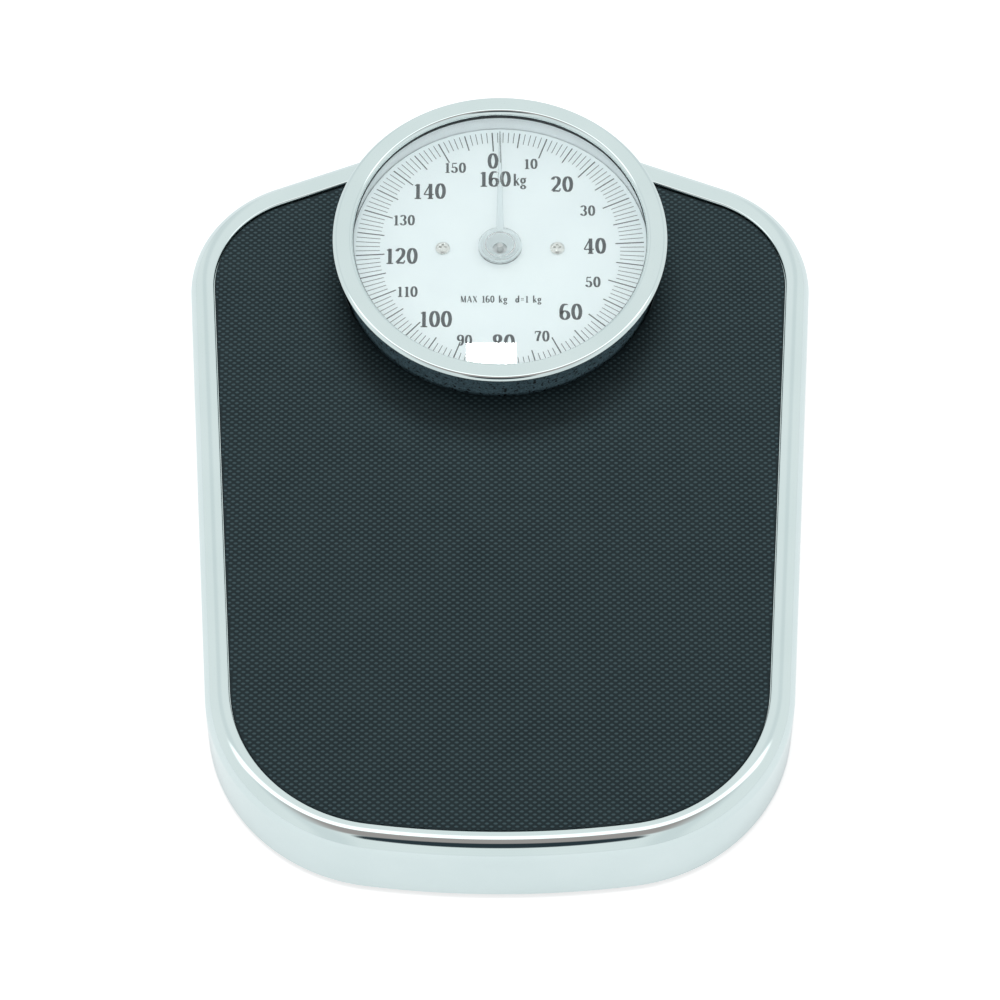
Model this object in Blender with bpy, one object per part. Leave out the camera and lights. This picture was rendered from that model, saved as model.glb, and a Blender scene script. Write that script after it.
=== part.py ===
"""Mechanical platform scale with a raised round dial at the back.

Metres, +Z up, -Y towards the person who stands on it. The origin is on the floor, under the middle of the
platform. Every piece is drawn at rest, with no load on the platform.
"""

import math

import bmesh
import bpy
from mathutils import Matrix, Vector

# Platform plan: a chain of arcs and straight lines, seen from above
PLATFORM_WIDTH = 0.3146
PLATFORM_LENGTH = 0.4268
FRONT_BOW_RADIUS = 0.470
FRONT_CORNER_RADIUS = 0.090
REAR_CORNER_RADIUS = 0.065
DIAL_RIM = 0.0098
SIDE_TAPER = math.radians(3.77)
REAR_SLOPE = math.radians(22.0)

# Clearances
CLEAR = 0.0003
PIN_CLEAR = 0.0002
RUNNING_GAP = 0.0012

# Base
FOOT_HEIGHT = 0.0067
FOOT_RADIUS = 0.012
FOOT_NECK_RADIUS = 0.004
FOOT_HEAD_RADIUS = 0.0055
FOOT_HEAD_HEIGHT = 0.0018
PAN_SHEET = 0.0012
PAN_WALL_HEIGHT = 0.016
PAN_TO_SKIRT = 0.003
FRONT_FOOT_SIDE = 0.0693
FRONT_FOOT_END = 0.0414
REAR_FOOT_SIDE = 0.0393
REAR_FOOT_END = 0.0784

# Levers, placed from the platform's edges and from the dial
FULCRUM_ARM = 0.024
FRONT_FULCRUM_END = 0.0634
REAR_FULCRUM_BEFORE_DIAL = 0.024
NOSE_BEFORE_DIAL = 0.029
FRONT_LEVER_SIDE = 0.0533
REAR_LEVER_SIDE = 0.0423
LINK_INSIDE = 0.032
LEVER_RISE = 0.0228
LEVER_HEIGHT = 0.008
LEVER_SHEET = 0.003
NOSE_HALF_WIDTH = 0.003
LEVER_END = 0.008
PIN_RADIUS = 0.0025
LINK_PIN_RADIUS = 0.002
LINK_PLAY = 0.0008
EAR_SHEET = 0.002
EAR_LENGTH = 0.014
EAR_GAP = 0.0025
EAR_ABOVE_PIN = 0.005
BRACKET_BASE = 0.0015
RIVET_RADIUS = 0.00125
RIVET_HEAD_RADIUS = 0.0021
RIVET_HEAD_HEIGHT = 0.0009

# Platform
PLATFORM_SHEET = 0.0012
PLATE_RISE = 0.0119
MAT_THICKNESS = 0.0016
RIM_WIDTH = 0.0122
RIM_RISE = 0.0009
SHOULDER_RADIUS = 0.007
REAR_RIM_EXTRA = 0.0025
SKIRT_FLOOR_GAP = 0.0045
PLATFORM_TRAVEL = 0.0012

# Dial case
HOUSING_RADIUS = 0.0796
HOUSING_SHEET = 0.0015
HOUSING_RISE = 0.0155
HOUSING_DEPTH = 0.023
HOUSING_FLOOR = 0.0013
DIAL_LEAN = math.radians(2.9)
BEZEL_OVERHANG = 0.0048
BEZEL_HEIGHT = 0.0077
BEZEL_LAP = 0.0036
BEZEL_COLLAR_OUT = 0.0007
BEZEL_CROWN_DEPTH = 0.002
BEZEL_CROWN_RISE = 0.00012
BEZEL_SHOULDER = 0.003
BEZEL_SHOULDER_END = math.radians(35.0)
BEZEL_ROLL = 0.0024
LENS_ABOVE_HOUSING = 0.0045
LENS_THICKNESS = 0.0015
RING_WALL = 0.0021
CARD_BELOW_HOUSING = 0.0045
CARD_THICKNESS = 0.0008
CARD_GAP = 0.0004
CARD_SCREW_X = 0.029
CARD_SCREW_RADIUS = 0.0016
CARD_SCREW_HEAD_RADIUS = 0.00365
CARD_SCREW_HEAD_HEIGHT = 0.0013
CARD_SCREW_LENGTH = 0.0085

# Dial bracket, a bridge over the mechanism
BRIDGE_SHEET = 0.0015
BRIDGE_HALF_SPAN = 0.048
BRIDGE_FLANGE = 0.014
BRIDGE_FRONT = 0.020
BRIDGE_REAR = 0.026
BRIDGE_SCREW_RADIUS = 0.0018
BRIDGE_SCREW_HEAD_RADIUS = 0.0035
BRIDGE_SCREW_HEAD_HEIGHT = 0.0022

# Pointer drive
PINION_TEETH = 12
GEAR_MODULE = 0.0005
PRESSURE_ANGLE = math.radians(20.0)
TOOTH_ADDENDUM = 0.00035
TOOTH_DEDENDUM = 0.00055
BACKLASH = 0.00012
PINION_LENGTH = 0.0028
SHAFT_RADIUS = 0.0015
BUSH_RADIUS = 0.004
BUSH_FLANGE_RADIUS = 0.006
BUSH_FLANGE = 0.001
POINTER_HUB_RADIUS = 0.01125
POINTER_HUB_HEIGHT = 0.0015
POINTER_ABOVE_SCREWS = 0.0004
POINTER_FROM_EDGE = 0.0038
NEEDLE_ROOT = 0.0042
NEEDLE_TIP = 0.0008
NEEDLE_THICKNESS = 0.001
CAP_RADIUS = 0.00785
CAP_HEIGHT = 0.0029
RACK_HEIGHT = 0.0024
RACK_BACK = 0.0075
RACK_SPARE_TEETH = 2
RACK_TAB_SHEET = 0.0018
RACK_TAB_WALL = 0.002
GUIDE_SHEET = 0.0012
GUIDE_LENGTH = 0.020
GUIDE_REACH = 0.009
CRANK_PLANE = 0.01125
CRANK_SHEET = 0.0025
CRANK_UPRIGHT = 0.0267
CRANK_STUD_RADIUS = 0.00125
CRANK_BOSS_RADIUS = 0.004
CRANK_END_RADIUS = 0.0022
CRANK_PIN_RADIUS = 0.002
CRANK_EAR_LENGTH = 0.012
CRANK_EAR_GAP = 0.0014
SLOT_PLAY = 0.00035

# Springs, yoke and zero adjuster
YOKE_SHEET = 0.0025
YOKE_WIDTH = 0.008
YOKE_HALF_LENGTH = 0.025
YOKE_EAR_SHEET = 0.002
YOKE_EAR_WALL = 0.0018
SPRING_X = 0.020
SPRING_WIRE = 0.0018
SPRING_MEAN_RADIUS = 0.0065
SPRING_TURNS = 6
SPRING_LEG = 0.005
ADJUST_SHEET = 0.0015
ADJUST_ARM_WIDTH = 0.008
ADJUST_BELOW_BRIDGE = 0.0053
ADJUST_PIN_BEHIND_DIAL = 0.016
ADJUST_PIN_DROP = 0.00345
ADJUST_PIN_RADIUS = 0.002
ADJUST_LUG_LENGTH = 0.008
ADJUST_LUG_SHEET = 0.003
ADJUST_EAR_GAP = 0.002
ZERO_SCREW_FROM_HOUSING = 0.0136
ZERO_SCREW_RADIUS = 0.0025
ZERO_SCREW_HOLE_GAP = 0.0006
ZERO_COLLAR_RADIUS = 0.0045
ZERO_COLLAR_HEIGHT = 0.002
ZERO_WHEEL_RADIUS = 0.013
ZERO_WHEEL_HEIGHT = 0.0045
ZERO_WHEEL_RIBS = 24
ZERO_WHEEL_RIB_DEPTH = 0.0007

# Roundness of the meshes
LARGE_STEPS = 56
SMALL_STEPS = 16
CORNER_STEPS = 10
BOW_STEPS = 5

# Heights, worked out from the floor upwards
PAN_BOTTOM = FOOT_HEIGHT + CLEAR
PAN_TOP = PAN_BOTTOM + PAN_SHEET
BRACKET_BOTTOM = PAN_TOP + CLEAR
LEVER_Z = PAN_TOP + LEVER_RISE
PLATE_BOTTOM = LEVER_Z + PLATE_RISE
PLATE_TOP = PLATE_BOTTOM + PLATFORM_SHEET
MAT_BOTTOM = PLATE_TOP + CLEAR
MAT_TOP = MAT_BOTTOM + MAT_THICKNESS
RIM_CREST = MAT_TOP + RIM_RISE
HOUSING_TOP = MAT_TOP + HOUSING_RISE
CARD_TOP = HOUSING_TOP - CARD_BELOW_HOUSING
CARD_BOTTOM = CARD_TOP - CARD_THICKNESS
FLOOR_TOP = CARD_BOTTOM - CLEAR
FLOOR_BOTTOM = FLOOR_TOP - HOUSING_FLOOR
BRIDGE_TOP = FLOOR_BOTTOM - CLEAR
BRIDGE_BOTTOM = BRIDGE_TOP - BRIDGE_SHEET
LENS_TOP = HOUSING_TOP + LENS_ABOVE_HOUSING
LENS_BOTTOM = LENS_TOP - LENS_THICKNESS
BEZEL_BOTTOM = HOUSING_TOP + CLEAR
SCREW_HEAD_TOP = CARD_TOP + CLEAR + CARD_SCREW_HEAD_HEIGHT
POINTER_BOTTOM = SCREW_HEAD_TOP + POINTER_ABOVE_SCREWS
POINTER_TOP = POINTER_BOTTOM + POINTER_HUB_HEIGHT
GUIDE_TOP = BRIDGE_BOTTOM - CLEAR
RACK_TOP = GUIDE_TOP - GUIDE_SHEET - CLEAR
RACK_BOTTOM = RACK_TOP - RACK_HEIGHT
GUIDE_FOOT_BOTTOM = RACK_BOTTOM - CLEAR - GUIDE_SHEET / 2
YOKE_TOP = LEVER_Z - LEVER_HEIGHT / 2 - CLEAR
YOKE_BOTTOM = YOKE_TOP - YOKE_SHEET
ADJUST_TOP = BRIDGE_BOTTOM - ADJUST_BELOW_BRIDGE + ADJUST_SHEET
ADJUST_BOTTOM = ADJUST_TOP - ADJUST_SHEET

# Radii of the dial, worked out from the housing
REAR_ARC_RADIUS = HOUSING_RADIUS + DIAL_RIM
LENS_RADIUS = HOUSING_RADIUS - HOUSING_SHEET - CLEAR
CARD_RADIUS = LENS_RADIUS - RING_WALL - CARD_GAP
BEZEL_RADIUS = HOUSING_RADIUS + BEZEL_OVERHANG
BEZEL_WINDOW_RADIUS = LENS_RADIUS - BEZEL_LAP
POINTER_REACH = CARD_RADIUS - POINTER_FROM_EDGE

# Places in plan and the motion of the linkage
DIAL_Y = PLATFORM_LENGTH / 2 - REAR_ARC_RADIUS
FRONT_FOOT = (PLATFORM_WIDTH / 2 - FRONT_FOOT_SIDE, FRONT_FOOT_END - PLATFORM_LENGTH / 2)
REAR_FOOT = (PLATFORM_WIDTH / 2 - REAR_FOOT_SIDE, PLATFORM_LENGTH / 2 - REAR_FOOT_END)
FRONT_LEVER_X = PLATFORM_WIDTH / 2 - FRONT_LEVER_SIDE
REAR_LEVER_X = PLATFORM_WIDTH / 2 - REAR_LEVER_SIDE
LINK_X = FRONT_LEVER_X - LINK_INSIDE
FRONT_FULCRUM_Y = FRONT_FULCRUM_END - PLATFORM_LENGTH / 2
REAR_FULCRUM_Y = DIAL_Y - REAR_FULCRUM_BEFORE_DIAL
LINK_Y = (FRONT_FULCRUM_Y + REAR_FULCRUM_Y) / 2
NOSE_Y = DIAL_Y - NOSE_BEFORE_DIAL
NOSE_ARM = NOSE_Y - FRONT_FULCRUM_Y
NOSE_DROP = PLATFORM_TRAVEL * NOSE_ARM / FULCRUM_ARM
PITCH_RADIUS = GEAR_MODULE * PINION_TEETH / 2
RACK_TRAVEL = 2 * math.pi * PITCH_RADIUS
CRANK_SWING = math.asin(RACK_TRAVEL / 2 / CRANK_UPRIGHT)
CRANK_LEVEL = NOSE_DROP / 2 / math.sin(CRANK_SWING)
CRANK_PIVOT_Y = NOSE_Y + YOKE_WIDTH / 2 + 0.0049 + CRANK_LEVEL * (1 + math.cos(CRANK_SWING)) / 2
CRANK_STUD_TOP = GUIDE_FOOT_BOTTOM - 0.00045
CRANK_PIVOT_Z = CRANK_STUD_TOP - CRANK_STUD_RADIUS - CRANK_UPRIGHT
ADJUST_PIN_Y = DIAL_Y + ADJUST_PIN_BEHIND_DIAL
ADJUST_PIN_Z = ADJUST_BOTTOM + ADJUST_SHEET / 2 - ADJUST_PIN_DROP
ZERO_SCREW_Y = DIAL_Y + HOUSING_RADIUS - ZERO_SCREW_FROM_HOUSING

# Finishes: colour, metallic, roughness
FINISHES = {
    "chrome": ((0.80, 0.83, 0.83), 1.0, 0.08),
    "mat_rubber": ((0.035, 0.042, 0.045), 0.0, 0.75),
    "crinkle_black": ((0.02, 0.021, 0.023), 0.0, 0.6),
    "card_white": ((0.86, 0.90, 0.91), 0.0, 0.7),
    "ring_white": ((0.78, 0.82, 0.84), 0.0, 0.4),
    "clear": ((0.92, 0.95, 0.95), 0.0, 0.05),
    "zinc_steel": ((0.55, 0.56, 0.55), 1.0, 0.4),
    "pan_paint": ((0.05, 0.052, 0.055), 0.0, 0.5),
    "spring_steel": ((0.45, 0.45, 0.46), 1.0, 0.3),
    "brass": ((0.72, 0.55, 0.24), 1.0, 0.3),
    "foot_rubber": ((0.03, 0.03, 0.03), 0.0, 0.85),
    "wheel_plastic": ((0.06, 0.06, 0.065), 0.0, 0.5),
}


def clear_scene():
    for item in list(bpy.data.objects):
        bpy.data.objects.remove(item, do_unlink=True)


def finish(name):
    """The material of that name, made on first use."""
    material = bpy.data.materials.get(name)
    if material is None:
        colour, metallic, roughness = FINISHES[name]
        material = bpy.data.materials.new(name)
        material.use_nodes = True
        shader = material.node_tree.nodes["Principled BSDF"]
        shader.inputs["Base Color"].default_value = (*colour, 1.0)
        shader.inputs["Metallic"].default_value = metallic
        shader.inputs["Roughness"].default_value = roughness
        if name == "clear":
            shader.inputs["Transmission Weight"].default_value = 1.0
    return material


def carrier(name, place=(0, 0, 0)):
    """An empty on a joint's axis, which its pieces are parented to."""
    empty = bpy.data.objects.new(name, None)
    empty.location = place
    bpy.context.scene.collection.objects.link(empty)
    return empty


def settle(item, material, parent):
    item.data.materials.append(finish(material))
    bpy.context.scene.collection.objects.link(item)
    item.parent = parent
    item.matrix_parent_inverse = Matrix.Translation(-Vector(parent.location))
    return item


def piece(name, shape, material, parent):
    """One named sub-part from a finished bmesh."""
    bmesh.ops.recalc_face_normals(shape, faces=shape.faces)
    mesh = bpy.data.meshes.new(name)
    shape.to_mesh(mesh)
    shape.free()
    mesh.shade_smooth()
    mesh.set_sharp_from_angle(angle=math.radians(35))
    return settle(bpy.data.objects.new(name, mesh), material, parent)


def helper(shape, name):
    """A hidden cutter or adder for a Boolean."""
    bmesh.ops.recalc_face_normals(shape, faces=shape.faces)
    mesh = bpy.data.meshes.new(name)
    shape.to_mesh(mesh)
    shape.free()
    item = bpy.data.objects.new(name, mesh)
    item.hide_render = True
    item.display_type = "WIRE"
    bpy.context.scene.collection.objects.link(item)
    return item


def boolean(item, shape, operation):
    modifier = item.modifiers.new(operation.lower(), "BOOLEAN")
    modifier.operation = operation
    modifier.solver = "EXACT"
    modifier.object = helper(shape, f"{item.name}_{operation.lower()}_{len(item.modifiers)}")


def cut(item, *shapes):
    for shape in shapes:
        boolean(item, shape, "DIFFERENCE")


def join(item, *shapes):
    for shape in shapes:
        boolean(item, shape, "UNION")


def extruded(points, low, high, along="Z"):
    """A prism: the outline's points are (x, y), (x, z) or (y, z), extruded along the third axis."""
    place = {
        "Z": lambda a, b: (a, b, low),
        "Y": lambda a, b: (a, low, b),
        "X": lambda a, b: (low, a, b),
    }[along]
    shape = bmesh.new()
    base = shape.faces.new([shape.verts.new(place(a, b)) for a, b in points])
    made = bmesh.ops.extrude_face_region(shape, geom=[base])
    step = {"Z": (0, 0, high - low), "Y": (0, high - low, 0), "X": (high - low, 0, 0)}[along]
    bmesh.ops.translate(shape, verts=[v for v in made["geom"] if isinstance(v, bmesh.types.BMVert)], vec=step)
    return shape


def block(low, high):
    """A box between two corners."""
    corners = [(low[0], low[1]), (high[0], low[1]), (high[0], high[1]), (low[0], high[1])]
    return extruded(corners, low[2], high[2])


def rod(start, end, radius, steps=SMALL_STEPS):
    """A cylinder between two points."""
    start, end = Vector(start), Vector(end)
    way = end - start
    place = Matrix.Translation((start + end) / 2) @ Vector((0, 0, 1)).rotation_difference(way).to_matrix().to_4x4()
    shape = bmesh.new()
    bmesh.ops.create_cone(
        shape, cap_ends=True, segments=steps, radius1=radius, radius2=radius, depth=way.length, matrix=place
    )
    return shape


def cross_rod(x_low, x_high, y, z, radius):
    return rod((x_low, y, z), (x_high, y, z), radius)


def turned(profile, x=0.0, y=0.0, steps=SMALL_STEPS):
    """A turned piece from (radius, height) points: a ring if they stay off the axis, else closed on it."""
    shape = bmesh.new()
    verts = [shape.verts.new((radius, 0, height)) for radius, height in profile]
    ends = list(zip(verts, verts[1:]))
    if profile[0][0] > 0:
        ends.append((verts[-1], verts[0]))
    edges = [shape.edges.new(pair) for pair in ends]
    bmesh.ops.spin(
        shape, geom=verts + edges, cent=(0, 0, 0), axis=(0, 0, 1), angle=2 * math.pi, steps=steps, use_merge=True
    )
    bmesh.ops.remove_doubles(shape, verts=shape.verts, dist=1e-7)
    bmesh.ops.translate(shape, verts=shape.verts, vec=(x, y, 0))
    return shape


def disc(radius, low, high, x=0.0, y=0.0, steps=SMALL_STEPS):
    """A plain disc or hole, twisted a little so that its corners miss the edges of the plate it cuts."""
    shape = turned([(0, low), (radius, low), (radius, high), (0, high)], 0, 0, steps)
    place = Matrix.Translation((x, y, 0)) @ Matrix.Rotation(math.radians(5), 4, "Z")
    bmesh.ops.transform(shape, matrix=place, verts=shape.verts)
    return shape


def arc(centre, radius, start, end, steps):
    """Points on an arc, both ends included."""
    angles = [start + (end - start) * i / steps for i in range(steps + 1)]
    return [(centre[0] + radius * math.cos(a), centre[1] + radius * math.sin(a)) for a in angles]


def capsule(first, first_radius, second, second_radius, steps=8):
    """The outline round two circles, as of a tapered arm with round ends."""
    way = Vector(second) - Vector(first)
    heading = math.atan2(way.y, way.x)
    spread = math.acos((first_radius - second_radius) / way.length)
    near = arc(first, first_radius, heading + spread, heading + 2 * math.pi - spread, steps)
    far = arc(second, second_radius, heading - spread, heading + spread, steps)
    return near + far


def slot(centre, half_length, radius, upright, steps=6):
    """The outline of a slot with round ends, along its first axis or upright."""
    shift = Vector((0, half_length)) if upright else Vector((half_length, 0))
    middle = Vector(centre)
    return capsule(middle - shift, radius, middle + shift, radius, steps)


def platform_outline(inset):
    """The platform's plan, drawn in by inset: bow, front corners, tapered sides, rear corners, dial arc.

    The rim is a little wider at the back, so the inner plans end further forward there."""
    dial = Vector((0, DIAL_Y))
    bow = Vector((0, FRONT_BOW_RADIUS - PLATFORM_LENGTH / 2))
    side = Vector((math.cos(SIDE_TAPER), -math.sin(SIDE_TAPER)))
    back = Vector((math.sin(REAR_SLOPE), math.cos(REAR_SLOPE)))
    rear_x = PLATFORM_WIDTH / 2 - REAR_CORNER_RADIUS
    rear_reach = back.dot(dial) + REAR_ARC_RADIUS - REAR_CORNER_RADIUS
    rear = Vector((rear_x, (rear_reach - back.x * rear_x) / back.y))
    reach = side.dot(rear) + REAR_CORNER_RADIUS - FRONT_CORNER_RADIUS
    along = Vector((-side.y, side.x)).dot(bow)
    off = reach - side.dot(bow)
    front = reach * side + (along - math.sqrt((FRONT_BOW_RADIUS - FRONT_CORNER_RADIUS) ** 2 - off**2)) * Vector(
        (-side.y, side.x)
    )
    bow_turn = math.atan2(front.y - bow.y, front.x - bow.x)
    half = arc(bow, FRONT_BOW_RADIUS - inset, -math.pi / 2, bow_turn, BOW_STEPS)[:-1]
    half += arc(front, FRONT_CORNER_RADIUS - inset, bow_turn, -SIDE_TAPER, CORNER_STEPS)
    half += arc(rear, REAR_CORNER_RADIUS - inset, -SIDE_TAPER, math.pi / 2 - REAR_SLOPE, CORNER_STEPS)
    half += arc(dial, REAR_ARC_RADIUS - inset, math.pi / 2 - REAR_SLOPE, math.pi / 2, BOW_STEPS)
    extra = REAR_RIM_EXTRA * max(0.0, inset - SHOULDER_RADIUS) / (RIM_WIDTH - SHOULDER_RADIUS)
    half = [(x, y - extra * (y / PLATFORM_LENGTH + 0.5)) for x, y in half]
    return half + [(-x, y) for x, y in reversed(half[1:-1])]


def drawn(sections):
    """A pressed sheet: the platform's plan at each (inset, height), skinned from one cap to the other."""
    shape = bmesh.new()
    rings = [[shape.verts.new((x, y, z)) for x, y in platform_outline(inset)] for inset, z in sections]
    count = len(rings[0])
    for lower, upper in zip(rings, rings[1:]):
        for i in range(count):
            j = (i + 1) % count
            shape.faces.new((lower[i], lower[j], upper[j], upper[i]))
    shape.faces.new(rings[0])
    shape.faces.new(rings[-1])
    return shape


def sides():
    """Name and sign of the left and right copies, as the person on the scale sees them."""
    return (("left", -1), ("right", 1))


def base_pieces(base):
    skirt_to_pan = PLATFORM_SHEET + PAN_TO_SKIRT
    wall_top = PAN_TOP + PAN_WALL_HEIGHT
    pan = piece(
        "base_pan",
        drawn(
            [
                (skirt_to_pan + PAN_SHEET, PAN_TOP),
                (skirt_to_pan + PAN_SHEET, wall_top),
                (skirt_to_pan, wall_top),
                (skirt_to_pan, PAN_BOTTOM),
            ]
        ),
        "pan_paint",
        base,
    )
    below, above = PAN_BOTTOM - PAN_SHEET, PAN_TOP + PAN_SHEET
    for end, (x, y) in (("front", FRONT_FOOT), ("rear", REAR_FOOT)):
        for side, sign in sides():
            head_bottom = PAN_TOP + CLEAR
            profile = [
                (0, 0),
                (FOOT_RADIUS * 0.92, 0),
                (FOOT_RADIUS, FOOT_HEIGHT * 0.2),
                (FOOT_RADIUS, FOOT_HEIGHT),
                (FOOT_NECK_RADIUS, FOOT_HEIGHT),
                (FOOT_NECK_RADIUS, head_bottom),
                (FOOT_HEAD_RADIUS, head_bottom),
                (FOOT_NECK_RADIUS, head_bottom + FOOT_HEAD_HEIGHT),
                (0, head_bottom + FOOT_HEAD_HEIGHT),
            ]
            piece(f"foot_{end}_{side}", turned(profile, sign * x, y, 20), "foot_rubber", base)
            cut(pan, disc(FOOT_NECK_RADIUS + CLEAR, below, above, sign * x, y))
    for end, x, y in (("front", FRONT_LEVER_X, FRONT_FULCRUM_Y), ("rear", REAR_LEVER_X, REAR_FULCRUM_Y)):
        for side, sign in sides():
            ear_bracket(f"fulcrum_bracket_{end}_{side}", sign * x, y, LEVER_Z, EAR_LENGTH, EAR_GAP, PIN_RADIUS, base)
            rivet(f"bracket_rivet_{end}_{side}", sign * x, y, base)
            cut(pan, disc(RIVET_RADIUS + CLEAR, below, above, sign * x, y))
    ear_bracket(
        "crank_bracket", CRANK_PLANE, CRANK_PIVOT_Y, CRANK_PIVOT_Z, CRANK_EAR_LENGTH, CRANK_SHEET / 2 + CRANK_EAR_GAP,
        CRANK_PIN_RADIUS, base,
    )
    rivet("crank_bracket_rivet", CRANK_PLANE, CRANK_PIVOT_Y, base)
    cut(pan, disc(RIVET_RADIUS + CLEAR, below, above, CRANK_PLANE, CRANK_PIVOT_Y))
    for side, sign in sides():
        cut(pan, disc(BRIDGE_SCREW_RADIUS + CLEAR, below, above, sign * bridge_screw_x(), DIAL_Y))
    cut(pan, disc(ZERO_SCREW_RADIUS + CLEAR, below, above, 0, ZERO_SCREW_Y))


def ear_bracket(name, x, y, pin_z, length, half_gap, pin_radius, base):
    """A channel with two upright ears that carry a cross pin."""
    top = pin_z + EAR_ABOVE_PIN
    floor = BRACKET_BOTTOM + BRACKET_BASE
    wide = half_gap + EAR_SHEET
    profile = [
        (x - wide, BRACKET_BOTTOM),
        (x + wide, BRACKET_BOTTOM),
        (x + wide, top),
        (x + half_gap, top),
        (x + half_gap, floor),
        (x - half_gap, floor),
        (x - half_gap, top),
        (x - wide, top),
    ]
    bracket = piece(name, extruded(profile, y - length / 2, y + length / 2, "Y"), "zinc_steel", base)
    cut(bracket, cross_rod(x - wide - EAR_SHEET, x + wide + EAR_SHEET, y, pin_z, pin_radius + PIN_CLEAR))
    cut(bracket, disc(RIVET_RADIUS + CLEAR, BRACKET_BOTTOM - BRACKET_BASE, floor + BRACKET_BASE, x, y))


def rivet(name, x, y, base):
    """A rivet through the pan and the base of a bracket."""
    low = PAN_BOTTOM - CLEAR
    high = BRACKET_BOTTOM + BRACKET_BASE + CLEAR
    profile = [
        (0, low - RIVET_HEAD_HEIGHT),
        (RIVET_HEAD_RADIUS * 0.7, low - RIVET_HEAD_HEIGHT),
        (RIVET_HEAD_RADIUS, low),
        (RIVET_RADIUS, low),
        (RIVET_RADIUS, high),
        (RIVET_HEAD_RADIUS, high),
        (RIVET_HEAD_RADIUS * 0.7, high + RIVET_HEAD_HEIGHT),
        (0, high + RIVET_HEAD_HEIGHT),
    ]
    piece(name, turned(profile, x, y, 12), "zinc_steel", base)


def bridge_screw_x():
    return BRIDGE_HALF_SPAN + BRIDGE_FLANGE / 2


def bridge_pieces(base):
    span, sheet = BRIDGE_HALF_SPAN, BRIDGE_SHEET
    reach = span + BRIDGE_FLANGE
    foot = BRACKET_BOTTOM + sheet
    profile = [
        (-reach, BRACKET_BOTTOM),
        (sheet - span, BRACKET_BOTTOM),
        (sheet - span, BRIDGE_BOTTOM),
        (span - sheet, BRIDGE_BOTTOM),
        (span - sheet, BRACKET_BOTTOM),
        (reach, BRACKET_BOTTOM),
        (reach, foot),
        (span, foot),
        (span, BRIDGE_TOP),
        (-span, BRIDGE_TOP),
        (-span, foot),
        (-reach, foot),
    ]
    bridge = piece(
        "dial_bracket", extruded(profile, DIAL_Y - BRIDGE_FRONT, DIAL_Y + BRIDGE_REAR, "Y"), "zinc_steel", base
    )
    ear_x = adjust_ear_x()
    for side, sign in sides():
        inner, outer = sorted((sign * ear_x, sign * (ear_x + EAR_SHEET)))
        ear_half = ADJUST_LUG_LENGTH / 2 + 0.002
        low = (inner, ADJUST_PIN_Y - ear_half, ADJUST_PIN_Z - ADJUST_PIN_RADIUS - 0.002)
        join(bridge, block(low, (outer, ADJUST_PIN_Y + ear_half, BRIDGE_TOP - sheet / 2)))
    cut(bridge, disc(BUSH_RADIUS + PIN_CLEAR, BRIDGE_BOTTOM - sheet, BRIDGE_TOP + sheet, 0, DIAL_Y))
    pin_reach = ear_x + 2 * EAR_SHEET
    cut(bridge, cross_rod(-pin_reach, pin_reach, ADJUST_PIN_Y, ADJUST_PIN_Z, ADJUST_PIN_RADIUS + PIN_CLEAR))
    for side, sign in sides():
        cut(bridge, disc(CARD_SCREW_RADIUS + CLEAR, BRIDGE_BOTTOM - sheet, BRIDGE_TOP + sheet, sign * CARD_SCREW_X, DIAL_Y))
        x = sign * bridge_screw_x()
        cut(bridge, disc(BRIDGE_SCREW_RADIUS + CLEAR, BRACKET_BOTTOM - sheet, foot + sheet, x, DIAL_Y))
        head = foot + CLEAR
        profile = [
            (0, PAN_BOTTOM),
            (BRIDGE_SCREW_RADIUS, PAN_BOTTOM),
            (BRIDGE_SCREW_RADIUS, head),
            (BRIDGE_SCREW_HEAD_RADIUS, head),
            (BRIDGE_SCREW_HEAD_RADIUS, head + BRIDGE_SCREW_HEAD_HEIGHT * 0.6),
            (BRIDGE_SCREW_HEAD_RADIUS * 0.6, head + BRIDGE_SCREW_HEAD_HEIGHT),
            (0, head + BRIDGE_SCREW_HEAD_HEIGHT),
        ]
        piece(f"bracket_screw_{side}", turned(profile, x, DIAL_Y, 14), "zinc_steel", base)
    piece(
        "adjust_pin",
        cross_rod(-ear_x - EAR_SHEET - 0.001, ear_x + EAR_SHEET + 0.001, ADJUST_PIN_Y, ADJUST_PIN_Z, ADJUST_PIN_RADIUS),
        "zinc_steel",
        base,
    )


def adjust_ear_x():
    return SPRING_X + ADJUST_ARM_WIDTH / 2 + ADJUST_EAR_GAP


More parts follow.
